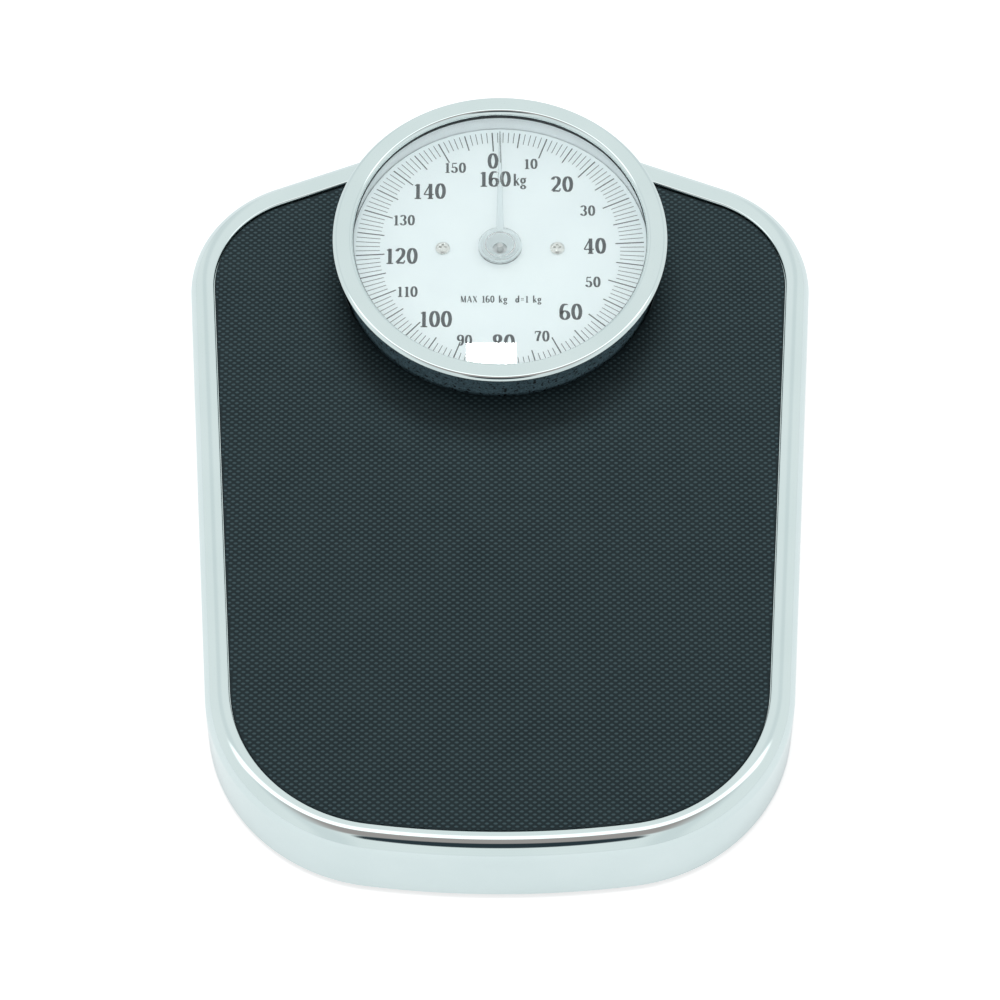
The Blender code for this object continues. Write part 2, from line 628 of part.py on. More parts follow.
def dial_case_pieces(base):
    inner = HOUSING_RADIUS - HOUSING_SHEET
    opening = BUSH_FLANGE_RADIUS + 0.002
    housing_bottom = HOUSING_TOP - HOUSING_DEPTH
    profile = [
        (HOUSING_RADIUS, housing_bottom),
        (HOUSING_RADIUS, HOUSING_TOP),
        (inner, HOUSING_TOP),
        (inner, FLOOR_TOP),
        (opening, FLOOR_TOP),
        (opening, FLOOR_BOTTOM),
        (inner, FLOOR_BOTTOM),
        (inner, housing_bottom),
    ]
    cup = leant(turned(profile, 0, DIAL_Y, LARGE_STEPS))
    housing = piece("dial_housing", cup, "crinkle_black", base)
    card_hole = SHAFT_RADIUS + 0.002
    profile = [(CARD_RADIUS, CARD_BOTTOM), (CARD_RADIUS, CARD_TOP), (card_hole, CARD_TOP), (card_hole, CARD_BOTTOM)]
    card = piece("dial_card", turned(profile, 0, DIAL_Y, LARGE_STEPS), "card_white", base)
    head_low = CARD_TOP + CLEAR
    for side, sign in sides():
        x = sign * CARD_SCREW_X
        for plate, low, high in ((housing, FLOOR_BOTTOM, FLOOR_TOP), (card, CARD_BOTTOM, CARD_TOP)):
            cut(plate, disc(CARD_SCREW_RADIUS + CLEAR, low - CARD_THICKNESS, high + CARD_THICKNESS, x, DIAL_Y))
        profile = [
            (0, CARD_TOP - CARD_SCREW_LENGTH),
            (CARD_SCREW_RADIUS, CARD_TOP - CARD_SCREW_LENGTH),
            (CARD_SCREW_RADIUS, head_low),
            (CARD_SCREW_HEAD_RADIUS, head_low),
            (CARD_SCREW_HEAD_RADIUS, head_low + CARD_SCREW_HEAD_HEIGHT * 0.55),
            (CARD_SCREW_HEAD_RADIUS * 0.72, SCREW_HEAD_TOP),
            (0, SCREW_HEAD_TOP),
        ]
        screw = piece(f"card_screw_{side}", turned(profile, x, DIAL_Y, 20), "zinc_steel", base)
        half, depth = CARD_SCREW_HEAD_RADIUS * 0.55, CARD_SCREW_HEAD_HEIGHT * 0.6
        for wide, deep in ((half, half * 0.28), (half * 0.28, half)):
            low = (x - wide, DIAL_Y - deep, SCREW_HEAD_TOP - depth)
            cut(screw, block(low, (x + wide, DIAL_Y + deep, SCREW_HEAD_TOP + depth)))
    profile = [
        (LENS_RADIUS, FLOOR_TOP + CLEAR),
        (LENS_RADIUS, LENS_BOTTOM - CLEAR),
        (LENS_RADIUS - RING_WALL, LENS_BOTTOM - CLEAR),
        (LENS_RADIUS - RING_WALL, FLOOR_TOP + CLEAR),
    ]
    piece("spacer_ring", leant(turned(profile, 0, DIAL_Y, LARGE_STEPS)), "ring_white", base)
    window = disc(LENS_RADIUS, LENS_BOTTOM, LENS_TOP, 0, DIAL_Y, LARGE_STEPS)
    piece("lens", leant(window), "clear", base)
    piece("bezel", leant(turned(bezel_profile(), 0, DIAL_Y, LARGE_STEPS)), "chrome", base)


def leant(shape):
    """Leans the rim above the card toward the front, so that the dial faces whoever stands there."""
    for vert in shape.verts:
        if vert.co.z > CARD_TOP:
            vert.co.z += (vert.co.y - DIAL_Y) * math.tan(DIAL_LEAN)
    return shape


def bezel_profile():
    """Spun ring: a collar on the housing's rim, a flat crown that reaches out over it and a lip over the lens."""
    seat = LENS_RADIUS + CLEAR
    collar = HOUSING_RADIUS + BEZEL_COLLAR_OUT
    crest = BEZEL_BOTTOM + BEZEL_HEIGHT
    lip = LENS_TOP + CLEAR
    under = crest - BEZEL_CROWN_DEPTH
    top = crest - BEZEL_CROWN_RISE
    shoulder = BEZEL_RADIUS - BEZEL_SHOULDER * math.cos(BEZEL_SHOULDER_END)
    roll = BEZEL_WINDOW_RADIUS + BEZEL_ROLL
    outer = arc((shoulder, top - BEZEL_SHOULDER), BEZEL_SHOULDER, BEZEL_SHOULDER_END, math.pi / 2, 4)
    inner = arc((roll, top - BEZEL_ROLL), BEZEL_ROLL, math.pi / 2, math.pi, 4)
    edge = 0.0004
    start = [(seat, BEZEL_BOTTOM), (collar, BEZEL_BOTTOM), (collar, under)]
    start += [(BEZEL_RADIUS - edge, under), (BEZEL_RADIUS, under + edge)]
    return start + outer + [((shoulder + roll) / 2, crest)] + inner + [(BEZEL_WINDOW_RADIUS, lip), (seat, lip)]


def tooth_half_angle(radius):
    """Half the angle that a pinion tooth fills at a radius, on involute flanks."""
    base_radius = PITCH_RADIUS * math.cos(PRESSURE_ANGLE)
    lean = math.acos(min(1.0, base_radius / radius))
    involute = math.tan(lean) - lean
    start = math.tan(PRESSURE_ANGLE) - PRESSURE_ANGLE
    return (math.pi * GEAR_MODULE / 2 - BACKLASH) / (2 * PITCH_RADIUS) + start - involute


def pinion_outline():
    base_radius = PITCH_RADIUS * math.cos(PRESSURE_ANGLE)
    tip = PITCH_RADIUS + TOOTH_ADDENDUM
    radii = [PITCH_RADIUS - TOOTH_DEDENDUM, base_radius, PITCH_RADIUS, (PITCH_RADIUS + tip) / 2, tip]
    points = []
    for tooth in range(PINION_TEETH):
        middle = 2 * math.pi * (tooth + 0.5) / PINION_TEETH
        flank = [(r, tooth_half_angle(max(r, base_radius))) for r in radii]
        corners = [(r, middle - half) for r, half in flank] + [(r, middle + half) for r, half in reversed(flank)]
        points += [(r * math.cos(a), DIAL_Y + r * math.sin(a)) for r, a in corners]
    return points


def pointer_pieces(pointer):
    low = RACK_BOTTOM + (RACK_HEIGHT - PINION_LENGTH) / 2
    pinion = piece("pinion", extruded(pinion_outline(), low, low + PINION_LENGTH), "brass", pointer)
    cut(pinion, disc(SHAFT_RADIUS + PIN_CLEAR, low - PINION_LENGTH, low + 2 * PINION_LENGTH, 0, DIAL_Y))
    shaft_low = guide_pivot_bottom() + CLEAR
    piece("pointer_shaft", disc(SHAFT_RADIUS, shaft_low, POINTER_TOP - CLEAR, 0, DIAL_Y), "zinc_steel", pointer)
    hub = piece(
        "pointer", disc(POINTER_HUB_RADIUS, POINTER_BOTTOM, POINTER_TOP, 0, DIAL_Y, 32), "clear", pointer
    )
    middle = (POINTER_BOTTOM + POINTER_TOP) / 2
    needle = [
        (-NEEDLE_ROOT / 2, DIAL_Y),
        (NEEDLE_ROOT / 2, DIAL_Y),
        (NEEDLE_TIP / 2, DIAL_Y + POINTER_REACH),
        (-NEEDLE_TIP / 2, DIAL_Y + POINTER_REACH),
    ]
    join(hub, extruded(needle, middle - NEEDLE_THICKNESS / 2, middle + NEEDLE_THICKNESS / 2))
    cut(hub, disc(SHAFT_RADIUS + PIN_CLEAR, POINTER_BOTTOM - CLEAR, POINTER_TOP + CLEAR, 0, DIAL_Y))
    cap_low = POINTER_TOP + CLEAR
    dome = [(0, cap_low), (CAP_RADIUS, cap_low)]
    dome += [
        (CAP_RADIUS * math.cos(a), cap_low + CAP_HEIGHT * (0.2 + 0.8 * math.sin(a)))
        for a in [math.pi / 2 * i / 6 for i in range(6)]
    ]
    dome.append((0, cap_low + CAP_HEIGHT))
    piece("pointer_cap", turned(dome, 0, DIAL_Y, 24), "clear", pointer)


def guide_pivot_bottom():
    """Underside of the guide's lower plate, which holds the foot of the pointer shaft."""
    pinion_low = RACK_BOTTOM + (RACK_HEIGHT - PINION_LENGTH) / 2
    return pinion_low - 2 * GUIDE_SHEET - CLEAR


def guide_pieces(base):
    """Shaft bush, and the folded guide that holds the rack to the pinion and the shaft's foot."""
    bore = SHAFT_RADIUS + PIN_CLEAR
    flange = FLOOR_BOTTOM + BUSH_FLANGE
    profile = [
        (bore, BRIDGE_BOTTOM),
        (BUSH_RADIUS, BRIDGE_BOTTOM),
        (BUSH_RADIUS, FLOOR_BOTTOM),
        (BUSH_FLANGE_RADIUS, FLOOR_BOTTOM),
        (BUSH_FLANGE_RADIUS, flange),
        (bore, flange),
    ]
    piece("shaft_bush", turned(profile, 0, DIAL_Y, 20), "brass", base)
    low = guide_pivot_bottom()
    back = RACK_BACK + CLEAR
    foot_x = rack_tab_x()[1] + CLEAR
    foot_top = RACK_BOTTOM - CLEAR
    shelf = rack_tab_x()[0] - CRANK_STUD_RADIUS - 0.0008
    profile = [
        (-GUIDE_REACH, low),
        (shelf, low),
        (shelf, low + GUIDE_SHEET),
        (GUIDE_SHEET - GUIDE_REACH, low + GUIDE_SHEET),
        (GUIDE_SHEET - GUIDE_REACH, RACK_TOP + CLEAR),
        (back, RACK_TOP + CLEAR),
        (back, foot_top),
        (foot_x, foot_top),
        (foot_x, GUIDE_FOOT_BOTTOM),
        (back + GUIDE_SHEET, GUIDE_FOOT_BOTTOM),
        (back + GUIDE_SHEET, GUIDE_TOP),
        (-GUIDE_REACH, GUIDE_TOP),
    ]
    guide = piece(
        "rack_guide",
        extruded(profile, DIAL_Y - GUIDE_LENGTH / 2, DIAL_Y + GUIDE_LENGTH / 2, "Y"),
        "zinc_steel",
        base,
    )
    cut(guide, disc(bore, low - GUIDE_SHEET, GUIDE_TOP + GUIDE_SHEET, 0, DIAL_Y))


def rack_tab_x():
    """The sides of the rack's hanging tab."""
    low = PITCH_RADIUS + TOOTH_DEDENDUM + 0.0006
    return low, low + RACK_TAB_SHEET


def crank_place(arm, turn):
    """(y, z) of a crank stud: the upright arm for a turn from upright, else the level arm."""
    if arm == "upright":
        return CRANK_PIVOT_Y + CRANK_UPRIGHT * math.sin(turn), CRANK_PIVOT_Z + CRANK_UPRIGHT * math.cos(turn)
    return CRANK_PIVOT_Y - CRANK_LEVEL * math.cos(turn), CRANK_PIVOT_Z + CRANK_LEVEL * math.sin(turn)


def rack_pieces(rack):
    pitch = math.pi * GEAR_MODULE
    turns_of_pitch = round(RACK_TRAVEL / pitch)
    half = (pitch / 2 - BACKLASH) / 2
    slope = math.tan(PRESSURE_ANGLE)
    tip_x, root_x = PITCH_RADIUS - TOOTH_ADDENDUM, PITCH_RADIUS + TOOTH_DEDENDUM
    first, last = -RACK_SPARE_TEETH, turns_of_pitch + RACK_SPARE_TEETH
    points = [(RACK_BACK, DIAL_Y + last * pitch + pitch), (RACK_BACK, DIAL_Y + first * pitch - pitch)]
    points.append((root_x, DIAL_Y + first * pitch - pitch))
    for tooth in range(first, last + 1):
        middle = DIAL_Y + tooth * pitch
        root_half = half + TOOTH_DEDENDUM * slope
        tip_half = half - TOOTH_ADDENDUM * slope
        points += [(root_x, middle - root_half), (tip_x, middle - tip_half)]
        points += [(tip_x, middle + tip_half), (root_x, middle + root_half)]
    points.append((root_x, DIAL_Y + last * pitch + pitch))
    bar = piece("rack", extruded(points, RACK_BOTTOM, RACK_TOP), "brass", rack)
    rest_y, rest_z = crank_place("upright", CRANK_SWING)
    low_z = rest_z - CRANK_STUD_RADIUS
    high_z = CRANK_PIVOT_Z + CRANK_UPRIGHT + CRANK_STUD_RADIUS
    inner, outer = rack_tab_x()
    tab_half = CRANK_STUD_RADIUS + SLOT_PLAY + RACK_TAB_WALL
    join(
        bar,
        block(
            (inner, rest_y - tab_half, low_z - SLOT_PLAY - RACK_TAB_WALL),
            (outer, rest_y + tab_half, RACK_BOTTOM + RACK_HEIGHT / 2),
        ),
    )
    middle_z, half_slot = (low_z + high_z) / 2, (high_z - low_z) / 2 - CRANK_STUD_RADIUS
    opening = slot((rest_y, middle_z), half_slot + SLOT_PLAY / 2, CRANK_STUD_RADIUS + SLOT_PLAY, True)
    cut(bar, extruded(opening, inner - RACK_TAB_SHEET, outer + RACK_TAB_SHEET, "X"))


def crank_pieces(base, crank):
    pivot = (CRANK_PIVOT_Y, CRANK_PIVOT_Z)
    low, high = CRANK_PLANE - CRANK_SHEET / 2, CRANK_PLANE + CRANK_SHEET / 2
    upright, level = crank_place("upright", CRANK_SWING), crank_place("level", CRANK_SWING)
    plate = piece(
        "bell_crank",
        extruded(capsule(pivot, CRANK_BOSS_RADIUS, upright, CRANK_END_RADIUS), low, high, "X"),
        "zinc_steel",
        crank,
    )
    trim = 0.0001
    join(plate, extruded(capsule(pivot, CRANK_BOSS_RADIUS - trim, level, CRANK_END_RADIUS), low + trim, high - trim, "X"))
    join(plate, cross_rod(rack_tab_x()[0] - CLEAR, CRANK_PLANE, *upright, CRANK_STUD_RADIUS))
    join(plate, cross_rod(yoke_ear_x()[0] - CLEAR, CRANK_PLANE, *level, CRANK_STUD_RADIUS))
    cut(plate, cross_rod(low - CRANK_SHEET, high + CRANK_SHEET, *pivot, CRANK_PIN_RADIUS + PIN_CLEAR))
    reach = CRANK_SHEET / 2 + CRANK_EAR_GAP + EAR_SHEET + 0.0005
    piece("crank_pin", cross_rod(CRANK_PLANE - reach, CRANK_PLANE + reach, *pivot, CRANK_PIN_RADIUS), "zinc_steel", base)


def yoke_ear_x():
    """The sides of the yoke's ear, which the crank's level arm drives."""
    high = CRANK_PLANE - CRANK_SHEET / 2 - 0.002
    return high - YOKE_EAR_SHEET, high


def yoke_pieces(yoke):
    front, rear = NOSE_Y - YOKE_WIDTH / 2, NOSE_Y + YOKE_WIDTH / 2
    bar = piece(
        "spring_yoke",
        block((-YOKE_HALF_LENGTH, front, YOKE_BOTTOM), (YOKE_HALF_LENGTH, rear, YOKE_TOP)),
        "zinc_steel",
        yoke,
    )
    stud_y, stud_z = crank_place("level", CRANK_SWING)
    farthest = CRANK_PIVOT_Y - CRANK_LEVEL
    middle_y, half_slot = (stud_y + farthest) / 2, (stud_y - farthest) / 2
    radius = CRANK_STUD_RADIUS + SLOT_PLAY
    wall = radius + YOKE_EAR_WALL
    low_x, high_x = yoke_ear_x()
    ear_low, ear_high = stud_z - wall, max(stud_z + wall, YOKE_TOP + CLEAR)
    join(bar, block((low_x, rear - YOKE_WIDTH / 3, ear_low), (high_x, middle_y + half_slot + wall, ear_high)))
    opening = slot((middle_y, stud_z), half_slot + SLOT_PLAY / 2, radius, False)
    cut(bar, extruded(opening, low_x - YOKE_EAR_SHEET, high_x + YOKE_EAR_SHEET, "X"))
    for side, sign in sides():
        cut(bar, disc(SPRING_WIRE / 2 + CLEAR, YOKE_BOTTOM - YOKE_SHEET, YOKE_TOP + YOKE_SHEET, sign * SPRING_X, NOSE_Y))


def spring_path():
    """Points of one main spring about its own axis: a bent leg, the coils, and a bent leg above."""
    lift = SPRING_WIRE * 0.5
    coil_low, coil_high = YOKE_TOP + CLEAR + SPRING_WIRE, ADJUST_BOTTOM - CLEAR - SPRING_WIRE
    per_turn = 10
    low_bend = YOKE_BOTTOM - CLEAR - SPRING_WIRE / 2
    high_bend = ADJUST_TOP + CLEAR + SPRING_WIRE / 2
    points = [Vector((0, -SPRING_LEG, low_bend)), Vector((0, -lift, low_bend)), Vector((0, 0, low_bend + lift))]
    points.append(Vector((0, 0, coil_low - SPRING_WIRE * 0.6)))
    points.append(Vector((SPRING_MEAN_RADIUS * 0.45, 0, coil_low)))
    total = SPRING_TURNS * per_turn
    for i in range(total + 1):
        angle = 2 * math.pi * i / per_turn
        height = coil_low + (coil_high - coil_low) * i / total
        points.append(Vector((SPRING_MEAN_RADIUS * math.cos(angle), SPRING_MEAN_RADIUS * math.sin(angle), height)))
    points.append(Vector((SPRING_MEAN_RADIUS * 0.45, 0, coil_high)))
    points.append(Vector((0, 0, coil_high + SPRING_WIRE * 0.6)))
    points += [Vector((0, 0, high_bend - lift)), Vector((0, -lift, high_bend)), Vector((0, -SPRING_LEG, high_bend))]
    return points


def least_gap(points, wire, apart):
    """Least clear gap of a wire to itself, between points at least that many steps apart."""
    near = min((a - b).length for i, a in enumerate(points) for b in points[i + apart :])
    return near - wire


def spring_pieces(base):
    path = spring_path()
    print(f"main spring: least gap to itself {least_gap(path, SPRING_WIRE, 7) * 1000:.2f} mm")
    for side, sign in sides():
        curve = bpy.data.curves.new(f"main_spring_{side}", "CURVE")
        curve.dimensions = "3D"
        curve.bevel_depth = SPRING_WIRE / 2
        curve.bevel_resolution = 1
        curve.use_fill_caps = True
        spline = curve.splines.new("POLY")
        spline.points.add(len(path) - 1)
        for point, place in zip(spline.points, path):
            point.co = (sign * SPRING_X + sign * place.x, NOSE_Y + place.y, place.z, 1.0)
        settle(bpy.data.objects.new(f"main_spring_{side}", curve), "spring_steel", base)


def adjust_pieces(plate, screw):
    inner, outer = SPRING_X - ADJUST_ARM_WIDTH / 2, SPRING_X + ADJUST_ARM_WIDTH / 2
    front = NOSE_Y - SPRING_LEG
    rear, bar_front = ZERO_SCREW_Y + ADJUST_ARM_WIDTH, ZERO_SCREW_Y - ADJUST_ARM_WIDTH
    outline = [
        (outer, front), (outer, rear), (-outer, rear), (-outer, front),
        (-inner, front), (-inner, bar_front), (inner, bar_front), (inner, front),
    ]
    fork = piece("adjust_plate", extruded(outline, ADJUST_BOTTOM, ADJUST_TOP), "zinc_steel", plate)
    for side, sign in sides():
        low_x, high_x = sorted((sign * (outer - ADJUST_LUG_SHEET), sign * (outer - CLEAR)))
        half = ADJUST_LUG_LENGTH / 2
        low = (low_x, ADJUST_PIN_Y - half, ADJUST_PIN_Z - ADJUST_PIN_RADIUS - 0.0015)
        join(fork, block(low, (high_x, ADJUST_PIN_Y + half, ADJUST_BOTTOM + ADJUST_SHEET / 2)))
        cut(fork, disc(SPRING_WIRE / 2 + CLEAR, ADJUST_BOTTOM - ADJUST_SHEET, ADJUST_TOP + ADJUST_SHEET, sign * SPRING_X, NOSE_Y))
    cut(fork, cross_rod(-outer - EAR_SHEET, outer + EAR_SHEET, ADJUST_PIN_Y, ADJUST_PIN_Z, ADJUST_PIN_RADIUS + PIN_CLEAR))
    screw_hole = ZERO_SCREW_RADIUS + ZERO_SCREW_HOLE_GAP
    cut(fork, disc(screw_hole, ADJUST_BOTTOM - ADJUST_SHEET, ADJUST_TOP + ADJUST_SHEET, 0, ZERO_SCREW_Y))
    wheel_top = PAN_BOTTOM - CLEAR
    wheel_low = wheel_top - ZERO_WHEEL_HEIGHT
    collar = PAN_TOP + CLEAR
    profile = [
        (0, wheel_low + CLEAR),
        (ZERO_SCREW_RADIUS, wheel_low + CLEAR),
        (ZERO_SCREW_RADIUS, collar),
        (ZERO_COLLAR_RADIUS, collar),
        (ZERO_COLLAR_RADIUS, collar + ZERO_COLLAR_HEIGHT),
        (ZERO_SCREW_RADIUS, collar + ZERO_COLLAR_HEIGHT),
        (ZERO_SCREW_RADIUS, ADJUST_TOP + ZERO_SCREW_RADIUS),
        (0, ADJUST_TOP + ZERO_SCREW_RADIUS),
    ]
    piece("zero_screw", turned(profile, 0, ZERO_SCREW_Y), "zinc_steel", screw)
    points = []
    for rib in range(ZERO_WHEEL_RIBS):
        for share, radius in ((0.0, ZERO_WHEEL_RADIUS - ZERO_WHEEL_RIB_DEPTH), (0.5, ZERO_WHEEL_RADIUS)):
            angle = 2 * math.pi * (rib + share) / ZERO_WHEEL_RIBS
            points.append((radius * math.cos(angle), ZERO_SCREW_Y + radius * math.sin(angle)))
    wheel = piece("zero_wheel", extruded(points, wheel_low, wheel_top), "wheel_plastic", screw)
    cut(wheel, disc(ZERO_SCREW_RADIUS + PIN_CLEAR, wheel_low - CLEAR, wheel_top + CLEAR, 0, ZERO_SCREW_Y))


def platform_pieces(platform):
    sheet = PLATFORM_SHEET
    shoulder_z = RIM_CREST - SHOULDER_RADIUS
    roll = RIM_RISE
    roll_inset = RIM_WIDTH - roll
    sections = [(RIM_WIDTH, PLATE_TOP)]
    sections += arc((roll_inset, RIM_CREST - roll), roll, 0, math.pi / 2, 3)
    sections += arc((SHOULDER_RADIUS, shoulder_z), SHOULDER_RADIUS, math.pi / 2, math.pi, 6)
    sections += [(0, SKIRT_FLOOR_GAP), (sheet, SKIRT_FLOOR_GAP)]
    sections += arc((SHOULDER_RADIUS, shoulder_z), SHOULDER_RADIUS - sheet, math.pi, math.pi / 2, 4)
    sections += [(RIM_WIDTH - sheet, RIM_CREST - sheet), (RIM_WIDTH - sheet, PLATE_BOTTOM)]
    hole = HOUSING_RADIUS + RUNNING_GAP
    cover = piece("platform_cover", drawn(sections), "chrome", platform)
    cut(cover, disc(hole, PLATE_BOTTOM - 2 * sheet, RIM_CREST + 2 * sheet, 0, DIAL_Y, LARGE_STEPS))
    outline = platform_outline(RIM_WIDTH + CLEAR)
    mat = piece("platform_mat", extruded(outline, MAT_BOTTOM, MAT_TOP), "mat_rubber", platform)
    cut(mat, disc(hole + CLEAR, MAT_BOTTOM - sheet, MAT_TOP + sheet, 0, DIAL_Y, LARGE_STEPS))
    for end, x, y in load_places():
        for side, sign in sides():
            load_bearing(f"load_bearing_{end}_{side}", sign * x, y, platform)


def load_places():
    front = ("front", FRONT_LEVER_X, FRONT_FULCRUM_Y + FULCRUM_ARM)
    return front, ("rear", REAR_LEVER_X, REAR_FULCRUM_Y - FULCRUM_ARM)


def load_bearing(name, x, y, platform):
    """An inverted channel under the plate whose notched ears sit on a load pin."""
    top = PLATE_BOTTOM - CLEAR
    roof = top - BRACKET_BASE
    low = LEVER_Z - PIN_RADIUS / 2
    wide = EAR_GAP + EAR_SHEET
    profile = [
        (x - wide, low), (x - EAR_GAP, low), (x - EAR_GAP, roof), (x + EAR_GAP, roof),
        (x + EAR_GAP, low), (x + wide, low), (x + wide, top), (x - wide, top),
    ]
    bearing = piece(name, extruded(profile, y - EAR_LENGTH / 2, y + EAR_LENGTH / 2, "Y"), "zinc_steel", platform)
    reach = wide + EAR_SHEET
    notch = PIN_RADIUS + CLEAR
    cut(bearing, cross_rod(x - reach, x + reach, y, LEVER_Z, notch))
    cut(bearing, block((x - reach, y - notch, low - EAR_SHEET), (x + reach, y + notch, LEVER_Z)))


def long_lever_pieces(lever):
    half = LEVER_SHEET / 2
    front, bend = FRONT_FULCRUM_Y - LEVER_END, FRONT_FULCRUM_Y + FULCRUM_ARM + LEVER_END
    nose_start, nose_end = NOSE_Y - YOKE_WIDTH, NOSE_Y + YOKE_WIDTH / 2
    outer, inner = FRONT_LEVER_X + half, FRONT_LEVER_X - half
    right = [(inner, front), (outer, front), (outer, bend), (NOSE_HALF_WIDTH, nose_start), (NOSE_HALF_WIDTH, nose_end)]
    left = [(-x, y) for x, y in reversed(right)]
    outline = right + left + [(-inner, bend), (0, nose_start), (inner, bend)]
    low, high = LEVER_Z - LEVER_HEIGHT / 2, LEVER_Z + LEVER_HEIGHT / 2
    frame = piece("long_lever", extruded(outline, low, high), "zinc_steel", lever)
    reach = outer + EAR_GAP + EAR_SHEET
    for name, y in (("front_fulcrum_shaft", FRONT_FULCRUM_Y), ("front_load_shaft", FRONT_FULCRUM_Y + FULCRUM_ARM)):
        cut(frame, cross_rod(-reach, reach, y, LEVER_Z, PIN_RADIUS + PIN_CLEAR))
        piece(name, cross_rod(-reach, reach, y, LEVER_Z, PIN_RADIUS), "zinc_steel", lever)
    leg_x = inner * (nose_start - LINK_Y) / (nose_start - bend)
    cut(frame, cross_rod(-LINK_X, LINK_X, LINK_Y, LEVER_Z, LINK_PIN_RADIUS + PIN_CLEAR))
    for side, sign in sides():
        ends = sorted((sign * (leg_x - LEVER_SHEET), sign * (LINK_X + LEVER_SHEET)))
        piece(f"link_pin_{side}", cross_rod(*ends, LINK_Y, LEVER_Z, LINK_PIN_RADIUS), "zinc_steel", lever)


def short_lever_pieces(side, sign, lever):
    half = LEVER_SHEET / 2
    load_y = REAR_FULCRUM_Y - FULCRUM_ARM
    rear, bend = REAR_FULCRUM_Y + LEVER_END, load_y - LEVER_END
    tip, tip_bend = LINK_Y - LEVER_END, LINK_Y + LEVER_END
    path = [(REAR_LEVER_X, rear), (REAR_LEVER_X, bend), (LINK_X, tip_bend), (LINK_X, tip)]
    outline = [(sign * (x + half), y) for x, y in path] + [(sign * (x - half), y) for x, y in reversed(path)]
    low, high = LEVER_Z - LEVER_HEIGHT / 2, LEVER_Z + LEVER_HEIGHT / 2
    bar = piece(f"short_lever_{side}", extruded(outline, low, high), "zinc_steel", lever)
    x = sign * REAR_LEVER_X
    reach = half + EAR_GAP + EAR_SHEET
    for name, y in (("rear_fulcrum_pin", REAR_FULCRUM_Y), ("rear_load_pin", load_y)):
        cut(bar, cross_rod(x - reach, x + reach, y, LEVER_Z, PIN_RADIUS + PIN_CLEAR))
        piece(f"{name}_{side}", cross_rod(x - reach, x + reach, y, LEVER_Z, PIN_RADIUS), "zinc_steel", lever)
    opening = slot((LINK_Y, LEVER_Z), LINK_PLAY, LINK_PIN_RADIUS + CLEAR, False)
    ends = sorted((sign * (LINK_X - LEVER_SHEET), sign * (LINK_X + LEVER_SHEET)))
    cut(bar, extruded(opening, *ends, "X"))


clear_scene()
base_carrier = carrier("base")
base_pieces(base_carrier)
bridge_pieces(base_carrier)
dial_case_pieces(base_carrier)
guide_pieces(base_carrier)
spring_pieces(base_carrier)
pointer_pieces(carrier("pointer_axis", (0, DIAL_Y, 0)))
rack_pieces(carrier("rack_slide"))
crank_pieces(base_carrier, carrier("crank_axis", (0, CRANK_PIVOT_Y, CRANK_PIVOT_Z)))
yoke_pieces(carrier("yoke_slide"))
adjust_pieces(
    carrier("adjust_axis", (0, ADJUST_PIN_Y, ADJUST_PIN_Z)), carrier("zero_axis", (0, ZERO_SCREW_Y, 0))
)
platform_pieces(carrier("platform_sink"))
long_lever_pieces(carrier("long_lever_axis", (0, FRONT_FULCRUM_Y, LEVER_Z)))
for lever_side, lever_sign in sides():
    axis = carrier(f"short_lever_axis_{lever_side}", (lever_sign * REAR_LEVER_X, REAR_FULCRUM_Y, LEVER_Z))
    short_lever_pieces(lever_side, lever_sign, axis)
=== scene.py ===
# A mechanical platform scale with a raised round dial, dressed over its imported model.
import math

import bmesh
import bpy
import numpy as np
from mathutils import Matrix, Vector


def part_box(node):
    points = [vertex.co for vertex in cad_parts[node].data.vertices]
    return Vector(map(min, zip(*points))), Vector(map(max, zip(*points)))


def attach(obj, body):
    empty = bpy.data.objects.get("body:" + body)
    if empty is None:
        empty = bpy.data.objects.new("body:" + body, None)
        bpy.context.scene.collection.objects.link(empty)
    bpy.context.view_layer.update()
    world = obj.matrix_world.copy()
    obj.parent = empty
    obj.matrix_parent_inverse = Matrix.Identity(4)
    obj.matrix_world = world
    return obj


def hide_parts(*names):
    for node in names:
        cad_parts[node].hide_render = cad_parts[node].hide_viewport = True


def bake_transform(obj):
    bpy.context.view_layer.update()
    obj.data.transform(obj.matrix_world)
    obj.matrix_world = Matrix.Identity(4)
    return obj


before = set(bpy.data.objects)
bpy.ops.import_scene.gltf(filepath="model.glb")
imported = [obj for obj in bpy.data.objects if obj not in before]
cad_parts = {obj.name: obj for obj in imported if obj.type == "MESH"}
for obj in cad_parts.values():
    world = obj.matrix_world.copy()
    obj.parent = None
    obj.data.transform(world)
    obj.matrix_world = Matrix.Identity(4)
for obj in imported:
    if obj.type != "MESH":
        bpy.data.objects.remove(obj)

scene = bpy.context.scene
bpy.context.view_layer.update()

# Studio: a white room with a dull ceiling, a strip lamp over the scale and the dark of the camera.
# The floor is white paper that keeps the scale's own shadow. The camera looks down from the front.
CAMERA_TILT = math.radians(58.3)
CAMERA_DISTANCE = 2.0872
CAMERA_TARGET = Vector((0.0, -0.0184, 0.046))
camera_way = Vector((0, -math.cos(CAMERA_TILT), math.sin(CAMERA_TILT)))
camera = bpy.data.objects.new("camera", bpy.data.cameras.new("camera"))
camera.location = CAMERA_TARGET + CAMERA_DISTANCE * camera_way
camera.rotation_euler = (math.pi / 2 - CAMERA_TILT, 0, 0)
camera.data.sensor_width = 36.0
camera.data.lens = 152.9
camera.data.clip_end = 30.0
scene.collection.objects.link(camera)
scene.camera = camera
scene.view_settings.view_transform = "Standard"


def add_node(tree, kind, **values):
    """A node of that kind, with its properties set."""
    node = tree.nodes.new(kind)
    for name, value in values.items():
        setattr(node, name, value)
    return node


def wire(tree, source, target):
    """Joins an output of one node to an input of another."""
    tree.links.new(source, target)


